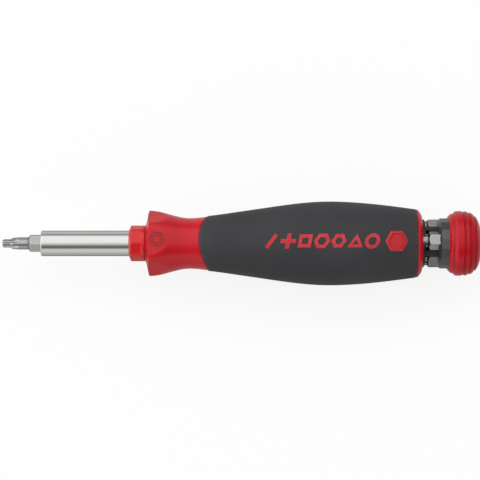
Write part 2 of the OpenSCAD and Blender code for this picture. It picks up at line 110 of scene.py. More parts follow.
@dataclass(frozen=True)
class Station:
    """A place on an outline with its diameter and the slope of its radius."""

    place: float
    diameter: float
    slope: float = 0.0

    def radius_to(self, other: "Station", place: float) -> float:
        """Radius at a place between this station and the next one."""
        length = other.place - self.place
        return curve((place - self.place) / length, self.diameter / 2, other.diameter / 2,
                     self.slope * length, other.slope * length)


def flats(angle: float, apothem: float, sides: int, turn: float = 0.0, power: float = 0.0) -> float:
    """Radius of a regular polygon's outline.

    Args:
        angle: where the radius is read, in radians.
        apothem: distance from the axis to a side.
        sides: number of sides.
        turn: angle of the middle of one side, in radians.
        power: 0 for sharp corners, or the sharpness of rounded ones.

    Returns:
        The outline's radius at that angle.
    """
    step = FULL_TURN / sides
    if not power:
        return apothem / cos((angle - turn + step / 2) % step - step / 2)
    total = sum(max(0.0, cos(angle - turn - k * step)) ** power for k in range(sides))
    return apothem / total ** (1.0 / power)


def soft_min(first: float, second: float, power: float) -> float:
    """The smaller of two radii, rounded where they meet, and less so at a higher power."""
    return (first ** -power + second ** -power) ** (-1.0 / power)


def sagitta(radius: float, away: float) -> float:
    """How far a circle has risen from its lowest point, at a distance to the side of it."""
    return radius - sqrt(max(0.0, radius * radius - away * away))


def steps(start: float, end: float, count: int) -> list[float]:
    """Evenly spaced values from start to end, both included, over a number of intervals."""
    return [start + (end - start) * i / count for i in range(count + 1)]


def rounded(points: Sequence[Point], radius: float, arc_steps: int = 4) -> list[Point]:
    """An outline whose inner corners are rounded.

    Args:
        points: the outline's corners.
        radius: wanted radius, held back where a side is short.
        arc_steps: intervals of each round.

    Returns:
        The rounded outline.
    """
    result = [points[0]]
    for before, corner, after in zip(points, points[1:], points[2:]):
        here = Vector(corner)
        back, ahead = Vector(before) - here, Vector(after) - here
        reach = min(radius, back.length * 0.45, ahead.length * 0.45)
        first = here + back.normalized() * reach
        last = here + ahead.normalized() * reach
        for share in steps(0.0, 1.0, arc_steps):
            inner = first.lerp(here, share).lerp(here.lerp(last, share), share)
            result.append((inner.x, inner.y))
    return result + [points[-1]]


# Mesh building


def verts_of(geometry: Iterable[object]) -> list[Vert]:
    """The vertices among the elements that an operator returns."""
    return [item for item in geometry if isinstance(item, Vert)]


def turn_verts(bm: Mesh, verts: Sequence[Vert], angle: float, axis: str) -> None:
    """Turns vertices by an angle round an axis through the origin."""
    bmesh.ops.rotate(bm, verts=verts, cent=(0, 0, 0), matrix=Matrix.Rotation(angle, 3, axis))


def thicken(bm: Mesh, height: float) -> None:
    """Gives a flat mesh a thickness towards +Z."""
    grown = bmesh.ops.extrude_face_region(bm, geom=bm.faces[:])["geom"]
    bmesh.ops.translate(bm, verts=verts_of(grown), vec=(0, 0, height))


def band(bm: Mesh, radius: float, segments: int) -> tuple[list[Vert], list[Vert]]:
    """Adds a flat closed band whose two edges still lie on one circle round the origin.

    Args:
        bm: the mesh.
        radius: radius of the circle.
        segments: points of the circle.

    Returns:
        The vertices of the outer edge and of the inner edge.
    """
    outer = bmesh.ops.create_circle(bm, cap_ends=False, radius=radius, segments=segments)["verts"]
    rim = list({edge for vert in outer for edge in vert.link_edges})
    return outer, verts_of(bmesh.ops.extrude_edge_only(bm, edges=rim)["geom"])


def fixed(place: float, radius: float) -> Ring:
    """A round ring: the same place and radius at every angle."""
    return lambda angle: (place, radius)


def shaped(place: float, section: Callable[[float], float]) -> Ring:
    """A ring at one place whose radius follows the angle."""
    return lambda angle: (place, section(angle))


def set_ring(verts: Sequence[Vert], ring: Ring, segments: int) -> None:
    """Moves a loop of vertices to a ring, keeping the angle of each.

    Args:
        verts: the loop's vertices.
        ring: gives place and radius for an angle.
        segments: number of vertices in the loop.
    """
    for vert in verts:
        angle = round(atan2(vert.co.y, vert.co.z) / FULL_TURN * segments) * FULL_TURN / segments
        place, radius = ring(angle)
        vert.co = Vector((place, radius * sin(angle), radius * cos(angle)))


def ring_chain(rings: Sequence[Ring], segments: int, close: Close = Close.ENDS) -> Mesh:
    """Extrudes one loop of vertices from ring to ring along the tool axis.

    Args:
        rings: the rings in order.
        segments: vertices in each ring.
        close: how the ends are closed.

    Returns:
        The mesh in millimetres.
    """
    bm = bmesh.new()
    bmesh.ops.create_circle(bm, cap_ends=False, radius=1.0, segments=segments)
    turn_verts(bm, bm.verts[:], pi / 2, "Y")
    set_ring(bm.verts[:], rings[0], segments)
    first = edges = bm.edges[:]
    for ring in rings[1:]:
        grown = bmesh.ops.extrude_edge_only(bm, edges=edges)["geom"]
        verts = verts_of(grown)
        inside = set(verts)
        edges = [e for e in grown if isinstance(e, bmesh.types.BMEdge) and set(e.verts) <= inside]
        set_ring(verts, ring, segments)
    if close is Close.LOOP:
        bmesh.ops.bridge_loops(bm, edges=first + edges)
    else:
        bmesh.ops.contextual_create(bm, geom=first)
        bmesh.ops.contextual_create(bm, geom=edges)
    return bm


def turned(outline: Sequence[Point], segments: int) -> Mesh:
    """Turns an outline of (place, radius) points round the tool axis.

    Args:
        outline: the outline, which starts and ends on the axis.
        segments: steps of the full turn.

    Returns:
        The closed mesh in millimetres.
    """
    bm = bmesh.new()
    verts = [bm.verts.new((place, 0.0, radius)) for place, radius in outline]
    edges = [bm.edges.new(pair) for pair in zip(verts, verts[1:])]
    bmesh.ops.spin(bm, geom=verts + edges, cent=(0, 0, 0), axis=(1, 0, 0), dvec=(0, 0, 0),
                   angle=FULL_TURN, steps=segments, use_merge=True)
    return bm


def fold(edge: bmesh.types.BMEdge) -> float:
    """Edge mark, from 1 on an outer edge (worn, painted lighter as a highlight) to -1 in a hollow (painted
    shade).

    Args:
        edge: an edge of a mesh in millimetres; a sharp fold counts, and so does a tight round.

    Returns:
        The mark, which is 0 on a plain surface.
    """
    angle = edge.calc_face_angle_signed(0.0)
    if abs(angle) < radians(3.0):
        return 0.0
    width = sum(face.calc_area() for face in edge.link_faces) / 2 / max(edge.calc_length(), 1e-6)
    sharp = smooth_step(radians(12.0), radians(28.0), abs(angle))
    tight = smooth_step(1.2, 2.8, abs(angle) / max(width, 1e-6))
    return copysign(max(sharp, tight), angle)


def mark_edges(bm: Mesh, reach: float = 0.7) -> None:
    """Marks outer edges towards 1 (rubbing, painted highlight) and hollows towards -1 (painted shade) in the
    finishes' attribute.

    Args:
        bm: the mesh in millimetres, with its normals outwards.
        reach: longest side in millimetres over which a mark fades to its neighbours.
    """
    layer = bm.verts.layers.float.new(WEAR_HIGHLIGHT_SHADE)
    for edge in bm.edges:
        mark = fold(edge)
        for vert in edge.verts:
            if abs(mark) > abs(vert[layer]):
                vert[layer] = mark
    marks = {vert: vert[layer] for vert in bm.verts if abs(vert[layer]) > 0.1}
    for vert, mark in marks.items():
        for edge in vert.link_edges:
            near = edge.other_vert(vert)
            if near not in marks and edge.calc_length() < reach and abs(mark) * 0.5 > abs(near[layer]):
                near[layer] = mark * 0.5


def add_object(name: str, data: bpy.types.ID) -> bpy.types.Object:
    """A new object in the scene.

    Args:
        name: name of the object.
        data: the mesh, lamp or camera that it holds.

    Returns:
        The object, at the origin.
    """
    made = bpy.data.objects.new(name, data)
    bpy.context.scene.collection.objects.link(made)
    return made


def add_mesh(name: str, bm: Mesh) -> bpy.types.Object:
    """Writes a mesh, which is freed, to a new object at the origin.

    Args:
        name: name of the object.
        bm: the mesh.

    Returns:
        The object.
    """
    mesh = bpy.data.meshes.new(name)
    bm.to_mesh(mesh)
    bm.free()
    return add_object(name, mesh)


def cut_out(bm: Mesh, cutters: Sequence[Mesh]) -> Mesh:
    """Cuts closed shapes out of a closed mesh.

    Args:
        bm: the mesh, which is freed.
        cutters: the shapes, which are freed.

    Returns:
        The cut mesh.
    """
    holders = []
    for index, shape in enumerate((bm, *cutters)):
        bmesh.ops.remove_doubles(shape, verts=shape.verts[:], dist=1e-5)
        bmesh.ops.recalc_face_normals(shape, faces=shape.faces[:])
        holders.append(add_mesh(f"shape_{index}", shape))
    for cutter in holders[1:]:
        cut = holders[0].modifiers.new(cutter.name, "BOOLEAN")
        cut.operation, cut.solver, cut.object = "DIFFERENCE", "EXACT", cutter
    bpy.context.view_layer.update()
    result = bmesh.new()
    result.from_mesh(holders[0].evaluated_get(bpy.context.evaluated_depsgraph_get()).to_mesh())
    for holder in holders:
        mesh = holder.data
        bpy.data.objects.remove(holder)
        bpy.data.meshes.remove(mesh)
    return result


def place_piece(bm: Mesh, name: str, body: str, material: Material, node: str = "",
                crease: float = 28.0) -> None:
    """Writes a mesh in millimetres to a piece in metres, and gives it its body and its finish.

    Args:
        bm: the mesh, which is freed.
        name: name of the piece.
        body: body that it moves with.
        material: its finish.
        node: model node that it stands for, if any.
        crease: angle in degrees from which an edge shades sharp.
    """
    bmesh.ops.remove_doubles(bm, verts=bm.verts[:], dist=1e-4)
    bmesh.ops.dissolve_degenerate(bm, edges=bm.edges[:], dist=1e-5)
    bmesh.ops.recalc_face_normals(bm, faces=bm.faces[:])
    mark_edges(bm)
    bmesh.ops.scale(bm, verts=bm.verts[:], vec=(MM, MM, MM))
    piece = add_mesh(name, bm)
    piece.data.polygons.foreach_set("use_smooth", [True] * len(piece.data.polygons))
    piece.data.set_sharp_from_angle(angle=radians(crease))
    piece.data.materials.append(material)
    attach(piece, body)
    if node:
        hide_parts(node)
    LOG.info("%s: %d faces on %s", name, len(piece.data.polygons), body)


def dress_node(name: str, material: Material) -> None:
    """Gives a model node that stays in view its finish.

    Args:
        name: name of the node.
        material: its finish.
    """
    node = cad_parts[name]
    if not node.material_slots:
        node.data.materials.append(material)
    for held in node.material_slots:
        held.material = material
    LOG.info("%s: kept as it is", name)


# Shader effects that several finishes share


class Tree:
    """Short calls for building a node tree."""

    # Places of the two colour inputs and of the colour output among the sockets of a Mix node
    MIX_COLOURS = (6, 7)
    MIX_RESULT = 2

    def __init__(self, tree: bpy.types.NodeTree) -> None:
        """Takes the tree that it fills."""
        self.tree = tree

    def feed(self, target: Socket, value: object) -> None:
        """Joins an input to a socket, or gives it a value of its own.

        Args:
            target: the input.
            value: a socket, a number, a vector or a linear colour.
        """
        if isinstance(value, Socket):
            self.tree.links.new(value, target)
        else:
            target.default_value = (*value, 1.0) if target.type == "RGBA" else value

    def add(self, kind: str, inputs: dict[str | int, object] | None = None,
            **settings: object) -> bpy.types.Node:
        """Adds a node.

        Args:
            kind: node type, without its ShaderNode prefix, or a group node's full type.
            inputs: what its inputs are fed with, by name or by place.
            settings: properties to set on it.

        Returns:
            The node.
        """
        node = self.tree.nodes.new(kind if kind.startswith("Node") else "ShaderNode" + kind)
        for key, value in settings.items():
            setattr(node, key, value)
        for key, value in (inputs or {}).items():
            self.feed(node.inputs[key], value)
        return node

    def math(self, operation: str, first: object, second: object = 0.0) -> Socket:
        """Output of a Math node, whose two inputs are sockets or numbers."""
        return self.add("Math", {0: first, 1: second}, operation=operation).outputs[0]

    def span(self, source: Socket, low: float, high: float, to_low: float, to_high: float) -> Socket:
        """Maps the range of values from low to high to another one, clamped."""
        return self.add("MapRange", {0: source, 1: low, 2: high, 3: to_low, 4: to_high}).outputs["Result"]

    def noise(self, vector: Socket, scale: object, detail: float = 2.0,
              stretch: Triple = (1.0, 1.0, 1.0)) -> Socket:
        """Noise of a scale and a detail, over coordinates that are stretched along each axis first."""
        mapped = self.add("Mapping", {"Vector": vector, "Scale": stretch}).outputs["Vector"]
        return self.add("TexNoise", {"Vector": mapped, "Scale": scale, "Detail": detail}).outputs["Fac"]

    def bump(self, height: Socket, strength: float, distance: float) -> Socket:
        """Normal bumped by a height, with a strength and a depth in metres."""
        return self.add("Bump", {"Height": height, "Strength": strength, "Distance": distance}).outputs[0]

    def blend(self, mask: Socket, first: object, second: Colour) -> Socket:
        """Mixes a colour or colour socket, where the mask is 0, with a second colour, where it is 1."""
        inputs = {0: mask, **dict(zip(self.MIX_COLOURS, (first, second)))}
        return self.add("Mix", inputs, data_type="RGBA").outputs[self.MIX_RESULT]

    def layers(self, tone: Socket, surface: bpy.types.Node,
               layers: Sequence[tuple[str, float, Colour]]) -> Socket:
        """Lays colours over a tone, one after the other.

        Args:
            tone: the colour underneath.
            surface: placed group whose masks are used.
            layers: for each colour the mask's name, its amount and the colour.

        Returns:
            The layered colour.
        """
        for mask, amount, colour in layers:
            tone = self.blend(self.math("MULTIPLY", surface.outputs[mask], amount), tone, colour)
        return tone

    def place_group(self, group: Group, values: dict[str, float]) -> bpy.types.Node:
        """Places a shared group, fed with Object coordinates, the edge marks for rubbing, painted highlight
        and painted shade, and numbers of its own.
        """
        inputs = {"Vector": self.add("TexCoord").outputs["Object"],
                  "Edge": self.add("Attribute", attribute_name=WEAR_HIGHLIGHT_SHADE).outputs["Fac"], **values}
        return self.add("Group", inputs, node_tree=group)


def new_group(name: str, inputs: dict[str, float], outputs: Sequence[str],
              patches: float) -> tuple[Tree, dict, dict]:
    """Makes a shader node group with the masks for rubbed outer edges, also a painted highlight, and for
    painted shade in hollows.

    Args:
        name: name of the group.
        inputs: names of its own number inputs with their defaults.
        outputs: names of its own number outputs.
        patches: scale of the patches in which an edge is rubbed and painted lighter as a highlight.

    Returns:
        The tree, its input sockets by name and its output sockets by name.
    """
    group = bpy.data.node_groups.new(name, "ShaderNodeTree")
    group.interface.new_socket("Vector", in_out="INPUT", socket_type="NodeSocketVector")
    for key, value in {**inputs, "Edge": 0.0}.items():
        socket = group.interface.new_socket(key, in_out="INPUT", socket_type="NodeSocketFloat")
        socket.default_value = value
    for key in (*outputs, "WearAndHighlight", "HollowShade"):
        group.interface.new_socket(key, in_out="OUTPUT", socket_type="NodeSocketFloat")
    tree = Tree(group)
    given = dict(tree.add("NodeGroupInput").outputs.items())
    out = dict(tree.add("NodeGroupOutput").inputs.items())
    patchy = tree.span(tree.noise(given["Vector"], patches, 4.0), 0.36, 0.6, 0.2, 1.0)
    # Outer edges in patches: rubbing and a painted highlight; hollows: painted shade
    tree.feed(out["WearAndHighlight"], tree.math("MULTIPLY", tree.math("MAXIMUM", given["Edge"], 0.0), patchy))
    tree.feed(out["HollowShade"], tree.math("MAXIMUM", tree.math("MULTIPLY", given["Edge"], -1.0), 0.0))
    return tree, given, out


def surface_group() -> Group:
    """Moulded surface: fine height, scuffs, broad mottle, rubbed edges with a painted highlight, and painted
    shade in hollows.

    Returns:
        The group.
    """
    tree, given, out = new_group("moulded_surface", {"Grain": 2600.0, "Scuff": 420.0},
                                 ("Height", "Scuffs", "Mottle"), 520.0)
    fine = tree.noise(given["Vector"], given["Grain"], 3.0)
    scratches = tree.noise(given["Vector"], given["Scuff"], 5.0, (0.2, 1.0, 1.0))
    tree.feed(out["Height"], tree.math("SUBTRACT", fine, tree.span(scratches, 0.64, 0.72, 0.0, 0.3)))
    tree.feed(out["Scuffs"], tree.span(scratches, 0.62, 0.74, 0.0, 1.0))
    tree.feed(out["Mottle"], tree.noise(given["Vector"], 55.0))
    return tree.tree


def turned_group() -> Group:
    """Fine lines left by turning and polishing: a height across the axis, smudges and streaks.

    Returns:
        The group.
    """
    tree, given, out = new_group("turned_lines", {"Lines": 5200.0}, ("Height", "Smudges", "Streaks"), 800.0)
    tree.feed(out["Height"], tree.noise(given["Vector"], given["Lines"], 3.0, (1.0, 0.015, 0.015)))
    tree.feed(out["Smudges"], tree.span(tree.noise(given["Vector"], 160.0, 3.0), 0.35, 0.7, 0.0, 1.0))
    tree.feed(out["Streaks"], tree.noise(given["Vector"], 900.0, 2.0, (0.03, 1.0, 1.0)))
    return tree.tree


def scaled(colour: Colour, share: float, lift: float = 0.0) -> Colour:
    """A colour made darker or lighter by one factor, and then lifted."""
    return tuple(min(1.0, channel * share + lift) for channel in colour)


def new_material(name: str) -> tuple[Material, Tree, bpy.types.Node]:
    """Makes an empty material.

    Args:
        name: name of the material.

    Returns:
        The material, its node tree and its surface shader.
    """
    made = bpy.data.materials.new(name)
    made.use_nodes = True
    return made, Tree(made.node_tree), made.node_tree.nodes["Principled BSDF"]


@dataclass(frozen=True)
class Plastic:
    """A moulded plastic or rubber with fine texture, mottle and light scuffs."""

    name: str
    colour: Colour
    roughness: float
    grain: float = 2600.0
    relief: float = 0.00001
    mottle: float = 0.06
    scuffs: float = 0.12
    # Amount of the edges (rubbing and a painted highlight), their paleness, and the painted shade in hollows
    rub_and_highlight: float = 0.3
    pale: float = 0.1
    hollow_shade: float = 0.5
    specular: float = 0.5

    def material(self, group: Group) -> Material:
        """Builds the finish.

        Args:
            group: the shared moulded surface.

        Returns:
            The material.
        """
        made, tree, shader = new_material(self.name)
        surface = tree.place_group(group, {"Grain": self.grain})
        height = surface.outputs["Height"]
        tone = tree.blend(tree.span(surface.outputs["Mottle"], 0.35, 0.65, 0.0, 1.0),
                          scaled(self.colour, 1 - self.mottle), scaled(self.colour, 1 + self.mottle))
        # Paler colour for scuffs (real) and for outer edges (rubbing and a painted highlight); hollows get
        # painted shade
        rubbed_and_highlit = scaled(self.colour, 1.15, self.pale)
        tone = tree.layers(tone, surface, (("Scuffs", self.scuffs, rubbed_and_highlit), ("WearAndHighlight", self.rub_and_highlight, rubbed_and_highlit),
                                           ("HollowShade", self.hollow_shade, scaled(self.colour, 0.3))))
        rough = tree.span(height, 0.2, 0.8, self.roughness - 0.06, self.roughness + 0.06)
        for mask, change in (("Scuffs", 0.12), ("WearAndHighlight", -0.08), ("HollowShade", 0.15)):
            rough = tree.math("ADD", rough, tree.math("MULTIPLY", surface.outputs[mask], change))
        for key, value in (("Base Color", tone), ("Roughness", rough), ("Specular IOR Level", self.specular),
                           ("Normal", tree.bump(height, 0.6, self.relief))):
            tree.feed(shader.inputs[key], value)
        return made


@dataclass(frozen=True)
class Metal:
    """A turned or ground steel with fine lines, streaks and faint smudges."""

    name: str
    colour: Colour
    roughness: float
    lines: float = 5200.0
    relief: float = 0.000004
    streak: float = 0.1
    rim_tint: float = 0.35

    def material(self, group: Group) -> Material:
        """Builds the finish.

        Args:
            group: the shared turned lines.

        Returns:
            The material.
        """
        made, tree, shader = new_material(self.name)
        surface = tree.place_group(group, {"Lines": self.lines})
        height = surface.outputs["Height"]
        tone = tree.blend(surface.outputs["Streaks"], scaled(self.colour, 1 - self.streak),
                          scaled(self.colour, 1 + self.streak / 2))
        # Outer edges lighter for rubbing and a painted highlight; hollows darker as painted shade
        tone = tree.layers(tone, surface, (("Smudges", 0.12, scaled(self.colour, 0.8)),
                                           ("WearAndHighlight", 0.5, scaled(self.colour, 1.3)),
                                           ("HollowShade", 0.35, scaled(self.colour, 0.4))))
        rough = tree.span(height, 0.2, 0.8, self.roughness * 0.8, self.roughness * 1.2)
        rough = tree.math("ADD", rough, tree.math("MULTIPLY", surface.outputs["Smudges"], 0.04))
        for key, value in (("Base Color", tone), ("Roughness", rough), ("Metallic", 1.0),
                           ("Specular Tint", (self.rim_tint,) * 3),
                           ("Normal", tree.bump(height, 0.5, self.relief))):
            tree.feed(shader.inputs[key], value)
        return made


class Finish(Enum):
    """Every finish of the tool."""

    # The edge amount in each finish covers rubbing and a painted highlight
    HANDLE_RED = Plastic("handle_red", (0.535, 0.006, 0.014), 0.21, rub_and_highlight=0.22, pale=0.07, specular=0.36)
    STAMP_RED = Plastic("stamp_red", (0.2, 0.006, 0.01), 0.42, specular=0.2)
    CAP_RED = Plastic("cap_red", (0.46, 0.003, 0.012), 0.22, rub_and_highlight=0.2, pale=0.06, specular=0.27)
    COLLAR_RED = Plastic("collar_red", (0.6, 0.007, 0.007), 0.22, grain=1800.0, rub_and_highlight=0.16, pale=0.06)
    GRIP = Plastic("grip_rubber", (0.044, 0.0435, 0.047), 0.6, grain=1900.0, relief=0.00004, mottle=0.1,
                   scuffs=0.02, rub_and_highlight=0.25, pale=0.05, specular=0.2)
    SIGN_RED = Plastic("sign_red", (0.5, 0.022, 0.032), 0.45, relief=0.00002, rub_and_highlight=0.25, pale=0.08,
                       specular=0.3)
    CAGE_BLACK = Plastic("cage_black", (0.014, 0.013, 0.014), 0.42, pale=0.05, specular=0.35)
    COLLAR_GREY = Plastic("collar_grey", (0.037, 0.0355, 0.042), 0.2, pale=0.08, specular=0.9)
    RING_BLACK = Plastic("ring_rubber", (0.02, 0.02, 0.02), 0.5, pale=0.04)
    SLEEVE = Metal("sleeve_steel", (0.75, 0.75, 0.73), 0.12, streak=0.07)
    BIT = Metal("bit_steel", (0.475, 0.47, 0.46), 0.28, lines=3600.0)
    SPARE_BIT = Metal("spare_bit_steel", (0.435, 0.43, 0.42), 0.34, lines=3600.0, streak=0.16)
    INNER_STEEL = Metal("inner_steel", (0.4, 0.4, 0.4), 0.4)
    MAGNET = Metal("magnet_nickel", (0.45, 0.43, 0.4), 0.3)


Finishes = dict[Finish, Material]


def build_finishes() -> Finishes:
    """Builds the shared groups and the material of every finish, once."""
    groups = {Plastic: surface_group(), Metal: turned_group()}
    return {finish: finish.value.material(groups[type(finish.value)]) for finish in Finish}


# Sub-assemblies


@dataclass(frozen=True)
class Bit:
    """A 25 mm hexagon bit, built with its rear end at rear and its tip towards -X."""

    tip: Tip
    rear: float
    across_flats: float = 6.3
    length: float = 25.0
    hex_length: float = 14.0
    chamfer: float = 0.5
    shoulder: float = 1.0
    segments: int = 144
    tip_start: float = 9.0
    lobe_shank: float = 4.7
    lobe_over: float = 3.4
    lobe_share: float = 0.26
    lobe_blend: float = 0.12
    lobe_core: float = 0.74
    flute_share: float = 0.206
    flute_wheel: float = 0.55
    cross_shank: float = 5.2
    cross_end: float = 1.9
    cross_taper: float = 0.5
    cross_flute: float = 0.26
    cross_tilt: float = 9.0
    rib_share: float = 0.62
    rib_angle: float = 0.12
    rib_length: float = 5.0
    blade_width: float = 5.5
    blade_thick: float = 1.0
    blade_taper: float = 0.68
    blade_foot: float = 0.4
    blade_rise: float = 0.8

    @property
    def tip_length(self) -> float:
        """Length of the bit in front of its hexagon."""
        return self.length - self.hex_length

    def shank_radius(self) -> float:
        """Radius of the round shank between hexagon and tip."""
        widths = {Tip.SIX_LOBE: self.lobe_shank, Tip.SLOTTED: self.blade_width}
        return widths.get(self.tip, self.cross_shank) / 2

    def hexagon(self, angle: float, limit: float) -> float:
        """Radius of the hexagon, cut by a turned limit."""
        return min(flats(angle, self.across_flats / 2, 6, power=240.0), limit)

    def lobes(self, angle: float, place: float, limit: float) -> float:
        """Radius of the six-lobe tip.

        Args:
            angle: angle round the bit.
            place: distance from the tip's end.
            limit: radius of the turned blank.

        Returns:
            The radius inside the flutes.
        """
        cutter = self.lobe_over * self.flute_share
        height = self.lobe_over * self.lobe_core / 2 + cutter
        past = place - self.tip_length * self.lobe_share
        height += sagitta(self.tip_length * self.flute_wheel, max(0.0, past))
        local = (angle + pi / 6) % (pi / 3) - pi / 6
        side = height * sin(local)
        if abs(side) >= cutter:
            return limit
        return soft_min(limit, height * cos(local) - sqrt(cutter * cutter - side * side), 40.0)

    def cross(self, angle: float, place: float, limit: float) -> float:
        """Radius of a cross tip.

        Args:
            angle: angle round the bit.
            place: distance from the tip's end.
            limit: radius of the turned cone.

        Returns:
            The radius inside the four flutes.
        """
        apex = self.cross_end * self.cross_flute + place * tan(radians(self.cross_tilt))
        local = angle % (pi / 2) - pi / 4
        wall = cos(local) - abs(sin(local))
        radius = soft_min(limit, apex / wall, 30.0) if wall > 0.01 else limit
        if self.tip is Tip.POZIDRIV and abs(local) < self.rib_angle and place < self.rib_length:
            radius = max(radius, min(limit, self.cross_end * self.rib_share))
        return radius

    def blade(self, angle: float, place: float, limit: float) -> float:
        """Radius of the slotted blade.

        Args:
            angle: angle round the bit.
            place: distance from the tip's end.
            limit: radius of the turned blank.

        Returns:
            The radius between the two flats.
        """
        thin, reach = self.blade_thick / 2, self.tip_length * self.blade_taper
        half = thin + (self.blade_width * self.blade_foot - thin) * min(1.0, place / reach)
        half += max(0.0, place - reach) * self.blade_rise
        rise = abs(cos(angle))
        return min(limit, half / rise) if rise > 0.01 else limit

    def tip_rings(self) -> list[Ring]:
        """Rings from behind the tip to its end: a turned blank's places and radii, cut by a section.

        Returns:
            The rings in order.
        """
        shank, start = self.shank_radius(), self.tip_start
        if self.tip is Tip.SIX_LOBE:
            half, lobe_x = self.lobe_over / 2, self.tip_length * self.lobe_share
            edge = half * (1 - self.lobe_core)
            blank = [(x, shank) for x in steps(start, lobe_x + self.tip_length * self.lobe_blend, 12)]
            blank = rounded([*blank, (lobe_x, half), (edge, half), (0.0, half - edge)], 0.25)
            section = self.lobes
        elif self.tip is Tip.SLOTTED:
            blank = [(x, shank) for x in steps(start, 0.15, 24)] + [(0.0, shank - 0.12)]
            section = self.blade
        else:
            cone, end = self.tip_length * self.cross_taper, self.cross_end / 2
            blank = [(x, min(shank, end + (shank - end) * x / cone))
                     for x in (*steps(start, cone, 5), *steps(cone * 0.95, 0.12, 20))] + [(0.0, end - 0.1)]
            section = self.cross
        front = self.rear - self.length
        return [shaped(front + x, lambda a, p=x, r=limit: section(a, p, r)) for x, limit in blank]

    def mesh(self) -> Mesh:
        """Builds the bit along the tool axis, with a flat on top.

        Returns:
            The mesh in millimetres.
        """
        corner, neck = self.across_flats / sqrt(3), self.rear - self.hex_length
        slope = (corner - self.shank_radius()) / self.shoulder
        blank = [(self.rear - self.chamfer * share, corner - self.chamfer * (1 - share))
                 for share in steps(0.0, 1.0, 5)] + [(neck + 0.4, corner)]
        blank += [(neck - x, corner - slope * x) for x in steps(0.0, self.shoulder, 8)]
        rings = [shaped(x, lambda a, r=limit: self.hexagon(a, r)) for x, limit in blank]
        return ring_chain(rings + self.tip_rings(), self.segments)


@dataclass
class Blade:
    """Blade of the tool: bit, sleeve, nose collar and what the sleeve holds."""

    sleeve: float = 9.8
    sleeve_show: float = 33.5
    chamfer: float = 0.3
    tail: float = 9.2
    tail_length: float = 10.0
    socket: float = 6.46
    turn: float = -38.0
    bit_rear: float = 9.8
    nose_length: float = 6.2
    nose: float = 13.8
    nose_flats: float = 13.1
    nose_face: float = 10.4
    nose_bevel: float = 0.8
    nose_flat_length: float = 4.4
    nose_flat_reach: float = 6.0
    hub: float = 0.095
    seat: float = 0.02

    def build_sleeve(self) -> Mesh:
        """Round tube with a hexagon bore and softly broken edges.

        Returns:
            The mesh in millimetres.
        """
        radius, tail, bore, turn = self.sleeve / 2, self.tail / 2, self.socket / 2, radians(self.turn)
        face, shoulder, end = -self.chamfer, self.sleeve_show, self.sleeve_show + self.tail_length
        inner = [shaped(x, lambda a, r=bore + grow: flats(a, r, 6, turn))
                 for x, grow in ((end, 0.0), (0.0, 0.0), (face + 0.08, 0.05), (face, 0.18))]
        outline = rounded([(face, radius - self.chamfer * 2), (face, radius - self.chamfer), (0.0, radius),
                           (0.6, radius), (shoulder - 0.6, radius), (shoulder, radius), (shoulder, tail),
                           (end, tail)], 0.12)
        return ring_chain(inner + [fixed(x, r) for x, r in outline], 144, Close.LOOP)

    def build_nose(self) -> Mesh:
        """Collar with eight milled flats that run out behind a round shoulder.

        Returns:
            The mesh in millimetres.
        """
        front, rear = self.sleeve_show, self.sleeve_show + self.nose_length
        outer, face, bore = self.nose / 2, self.nose_face / 2, self.tail / 2 + self.seat
        cutter = (self.nose_length - self.nose_flat_length) / 2
        flat_end, hub = front + self.nose_flat_length, rear - self.hub

        def section(angle: float, place: float, limit: float) -> float:
            """Radius under the flats, which rise along the cutter's round at their rear end.

            Args:
                angle: angle round the tool.
                place: place along the tool.
                limit: radius of the turned outline.

            Returns:
                The radius there.
            """
            if limit <= self.nose_flat_reach:
                return limit
            apothem = self.nose_flats / 2 + sagitta(cutter, max(0.0, place - flat_end))
            return soft_min(limit, flats(angle, apothem, 8, radians(22.5), 160.0), 90.0)

        outline = rounded([(front, face - 0.4), (front, face), (front + self.nose_bevel, outer),
                           (flat_end - 0.2, outer)], 0.3)
        outline += [(x, outer) for x in steps(flat_end, flat_end + cutter, 8)]
        outline += rounded([(hub - 0.3, outer), (hub, outer - 0.05), (hub, face), (rear, face)], 0.15)
        rings = [shaped(x, lambda a, p=x, r=limit: section(a, p, r)) for x, limit in outline]
        return ring_chain([fixed(front, bore), *rings, fixed(rear, bore)], 192, Close.LOOP)

    def build(self, finishes: Finishes) -> None:
        """Builds and dresses the blade.

        Args:
            finishes: every finish of the tool.
        """
        bit = Bit(Tip.SIX_LOBE, self.bit_rear).mesh()
        turn_verts(bit, bit.verts[:], radians(-self.turn), "X")
        place_piece(bit, "six_lobe_bit", "blade_bit", finishes[Finish.BIT], "bit_six_lobe")
        place_piece(self.build_sleeve(), "bright_sleeve", "handle",
                    finishes[Finish.SLEEVE], "blade_sleeve")
        place_piece(self.build_nose(), "red_nose_collar", "handle",
                    finishes[Finish.COLLAR_RED], "nose_collar")
        for node, finish in (("blade_shank", Finish.INNER_STEEL), ("bit_clip_ring", Finish.INNER_STEEL),
                             ("blade_magnet", Finish.MAGNET)):
            dress_node(node, finishes[finish])


